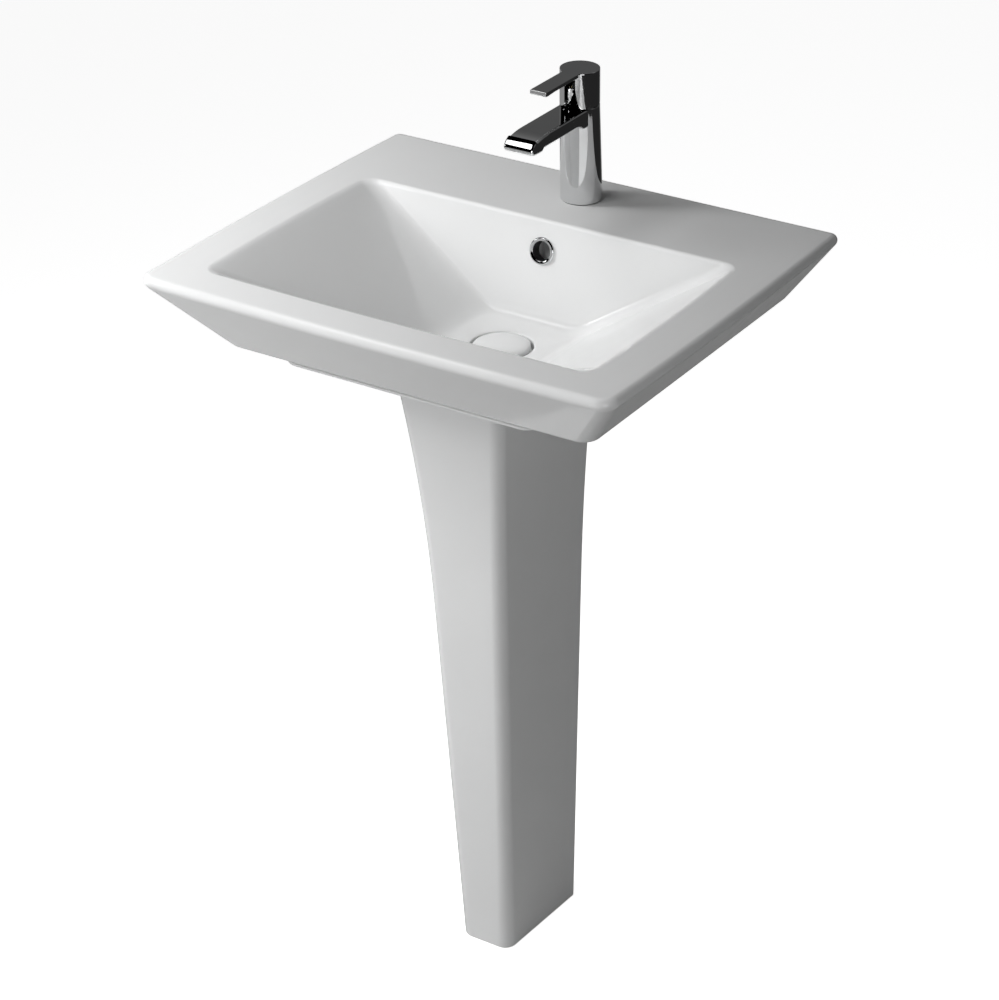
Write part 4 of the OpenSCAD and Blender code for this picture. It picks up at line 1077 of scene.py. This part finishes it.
class StudioSettings(bpy.types.PropertyGroup):
    key_power: power("Key", "Power of the key light", 8.6)
    front_power: power("Front", "Power of the light over the front edge", 8.9)
    fill_power: power("Fill", "Power that the two low fill lights are set from", 5.0)
    camera_place: bpy.props.FloatVectorProperty(name="Camera", description="Where the camera stands", size=3,
                                                default=(1.5852, -2.4222, 2.1404), subtype="XYZ", unit="LENGTH")
    camera_turn: angle("Turn", "Turn of the camera about the upright", 33.07)
    camera_tilt: angle("Tilt", "Tilt of the camera below the horizon", 28.35)
    camera_roll: angle("Roll", "Roll of the camera", -0.71)
    lens: bpy.props.FloatProperty(name="Lens", description="Focal length on a 36 mm sensor", default=108.02, min=1.0)


FLOOR_SIZE = 24
SENSOR = 36.0
FAR = 60.0
LOW_LEFT_SHARE = 1.25
RIGHT_SHARE = 1.6
STRIP_POWER = 2.6
SPOUT_CARD_POWER = 1.2
BOWL_CARD_POWER = 1.1


def softbox(name, energy, place, aim, size):
    """Rectangular area light that points at aim."""
    bpy.ops.object.light_add(type="AREA", location=place)
    lamp = bpy.context.object
    lamp.name = name
    lamp.data.shape = "RECTANGLE"
    lamp.data.size, lamp.data.size_y = size
    lamp.data.energy = energy
    lamp.visible_camera = False
    lamp.rotation_euler = (Vector(place) - Vector(aim)).to_track_quat("Z", "Y").to_euler()
    return lamp


def glow(tree, strength):
    """Plain white emission."""
    made = node(tree, "ShaderNodeEmission")
    feed(tree, made.inputs["Strength"], strength)
    return made.outputs[0]


def make_studio_floor(settings):
    """Pale floor, almost evenly lit to the eye. In reflections it fades from left to right."""
    tree, shader = finish("studio_floor", 0.9)
    pale = tuple(settings.floor)
    feed(tree, shader.inputs["Base Color"], mottled(tree, 2.0, deeper(pale, 0.995), pale))
    path = node(tree, "ShaderNodeLightPath").outputs
    seen = node(tree, "ShaderNodeAddShader")
    feed(tree, seen.inputs[0], shader.outputs[0])
    feed(tree, seen.inputs[1], glow(tree, fit_range(tree, path["Is Camera Ray"], 0.0, 1.0, 0.0, 0.9)))
    across = split(tree, on_object(tree))["X"]
    mirrored = glow(tree, fit_range(tree, across, -0.9, 0.5, 0.3, 0.02))
    either = node(tree, "ShaderNodeMixShader")
    for number, value in enumerate((path["Is Glossy Ray"], seen.outputs[0], mirrored)):
        feed(tree, either.inputs[number], value)
    feed(tree, tree.nodes["Material Output"].inputs[0], either.outputs[0])


def make_room_light():
    """Pale room for the eye, a dim one for its light, and for reflections one that is dark but for its back."""
    world = bpy.data.worlds.new("studio_room")
    bpy.context.scene.world = world
    world.use_nodes = True
    tree = world.node_tree
    back = tree.nodes["Background"]
    path = node(tree, "ShaderNodeLightPath").outputs
    level = fit_range(tree, path["Is Camera Ray"], 0.0, 1.0, 0.05, 1.0)
    to_back = split(tree, node(tree, "ShaderNodeTexCoord").outputs["Generated"])["Y"]
    mirrored = combine(tree, "MULTIPLY", fit_range(tree, to_back, 0.45, 0.74, 0.18, 0.085),
                       fit_range(tree, to_back, 0.18, 0.45))
    feed(tree, back.inputs["Strength"], fit_range(tree, path["Is Glossy Ray"], 0.0, 1.0, level, mirrored))
    back.inputs["Color"].default_value = (1, 1, 1, 1)


class SINK_OT_studio(bpy.types.Operator):
    """Sets the camera, the floor, the room and the soft lights"""
    bl_idname = "sink.studio"
    bl_label = "Studio"

    def execute(self, context):
        set_up = context.scene.studio_settings
        bpy.ops.object.camera_add(location=set_up.camera_place)
        camera = context.object
        camera.name = "camera"
        turn = (Matrix.Rotation(set_up.camera_turn, 3, "Z") @ Matrix.Rotation(math.pi / 2 - set_up.camera_tilt, 3, "X")
                @ Matrix.Rotation(set_up.camera_roll, 3, "Z"))
        camera.rotation_euler = turn.to_euler()
        camera.data.lens = set_up.lens
        camera.data.sensor_width = SENSOR
        camera.data.clip_end = FAR
        context.scene.camera = camera
        context.scene.view_settings.view_transform = "Standard"
        clear_bench()
        bpy.ops.mesh.primitive_plane_add(size=FLOOR_SIZE)
        floor = settle(context.object, "studio_floor")
        make_studio_floor(context.scene.finish_settings)
        paint(floor, "studio_floor")
        make_room_light()
        fill = set_up.fill_power

        # Four of these light the pieces but aren't mirrored by them, and the two cards are only mirrored.
        key = softbox("key", set_up.key_power, (-1.05, -0.35, 1.35), (0, 0, 0.85), (0.3, 0.5))
        strip = softbox("rim_strip", STRIP_POWER, (-0.65, -0.05, 1.78), (0, 0, 0.87), (0.6, 0.3))
        front = softbox("front", set_up.front_power, (-0.35, -0.95, 1.75), (0, 0, 0.87), (1.0, 0.7))
        low = softbox("low_left", LOW_LEFT_SHARE * fill, (-0.9, -0.9, 0.25), (-0.1, -0.1, 0.7), (0.6, 0.6))
        softbox("right", RIGHT_SHARE * fill, (1.5, -1.35, 1.05), (0, 0, 0.7), (0.8, 0.9))
        for lamp in (key, strip, front, low):
            lamp.visible_glossy = False
        for card in (softbox("spout_card", SPOUT_CARD_POWER, (-0.41, -0.34, 1.60), (0, 0.06, 0.975), (0.36, 0.42)),
                     softbox("bowl_card", BOWL_CARD_POWER, (-0.79, -0.55, 1.18), (0.15, 0.1, 0.8), (0.3, 0.15))):
            card.visible_diffuse = False
        return {"FINISHED"}


# ---- panel and run ----

STEPS = ("studio", "basin", "pedestal", "tap_body", "lever", "bowl_trim")


class SINK_PT_panel(bpy.types.Panel):
    """Lists the sizes, finishes and building steps"""
    bl_idname = "SINK_PT_panel"
    bl_label = "Pedestal Sink"
    bl_space_type = "VIEW_3D"
    bl_region_type = "UI"
    bl_category = "Pedestal Sink"

    def draw(self, context):
        for group in SETTINGS:
            box = self.layout.box()
            for name in SETTINGS[group].__annotations__:
                box.prop(getattr(context.scene, group), name)
        for step in ("finishes",) + STEPS:
            self.layout.operator(f"sink.{step}")


SETTINGS = {"basin_sizes": BasinSizes, "tap_sizes": TapSizes, "finish_settings": FinishSettings,
            "studio_settings": StudioSettings}
CLASSES = (SINK_OT_finishes, SINK_OT_studio, SINK_OT_basin, SINK_OT_pedestal, SINK_OT_tap_body, SINK_OT_lever,
           SINK_OT_bowl_trim, SINK_PT_panel)


def register():
    for name, group in SETTINGS.items():
        bpy.utils.register_class(group)
        setattr(bpy.types.Scene, name, bpy.props.PointerProperty(type=group))
    for item in CLASSES:
        bpy.utils.register_class(item)


def unregister():
    for item in reversed(CLASSES):
        bpy.utils.unregister_class(item)
    for name, group in SETTINGS.items():
        delattr(bpy.types.Scene, name)
        bpy.utils.unregister_class(group)


def main():
    register()
    bpy.ops.sink.finishes()
    for step in STEPS:
        clear_bench()
        getattr(bpy.ops.sink, step)()
    clear_bench()


if __name__ == "__main__":
    main()
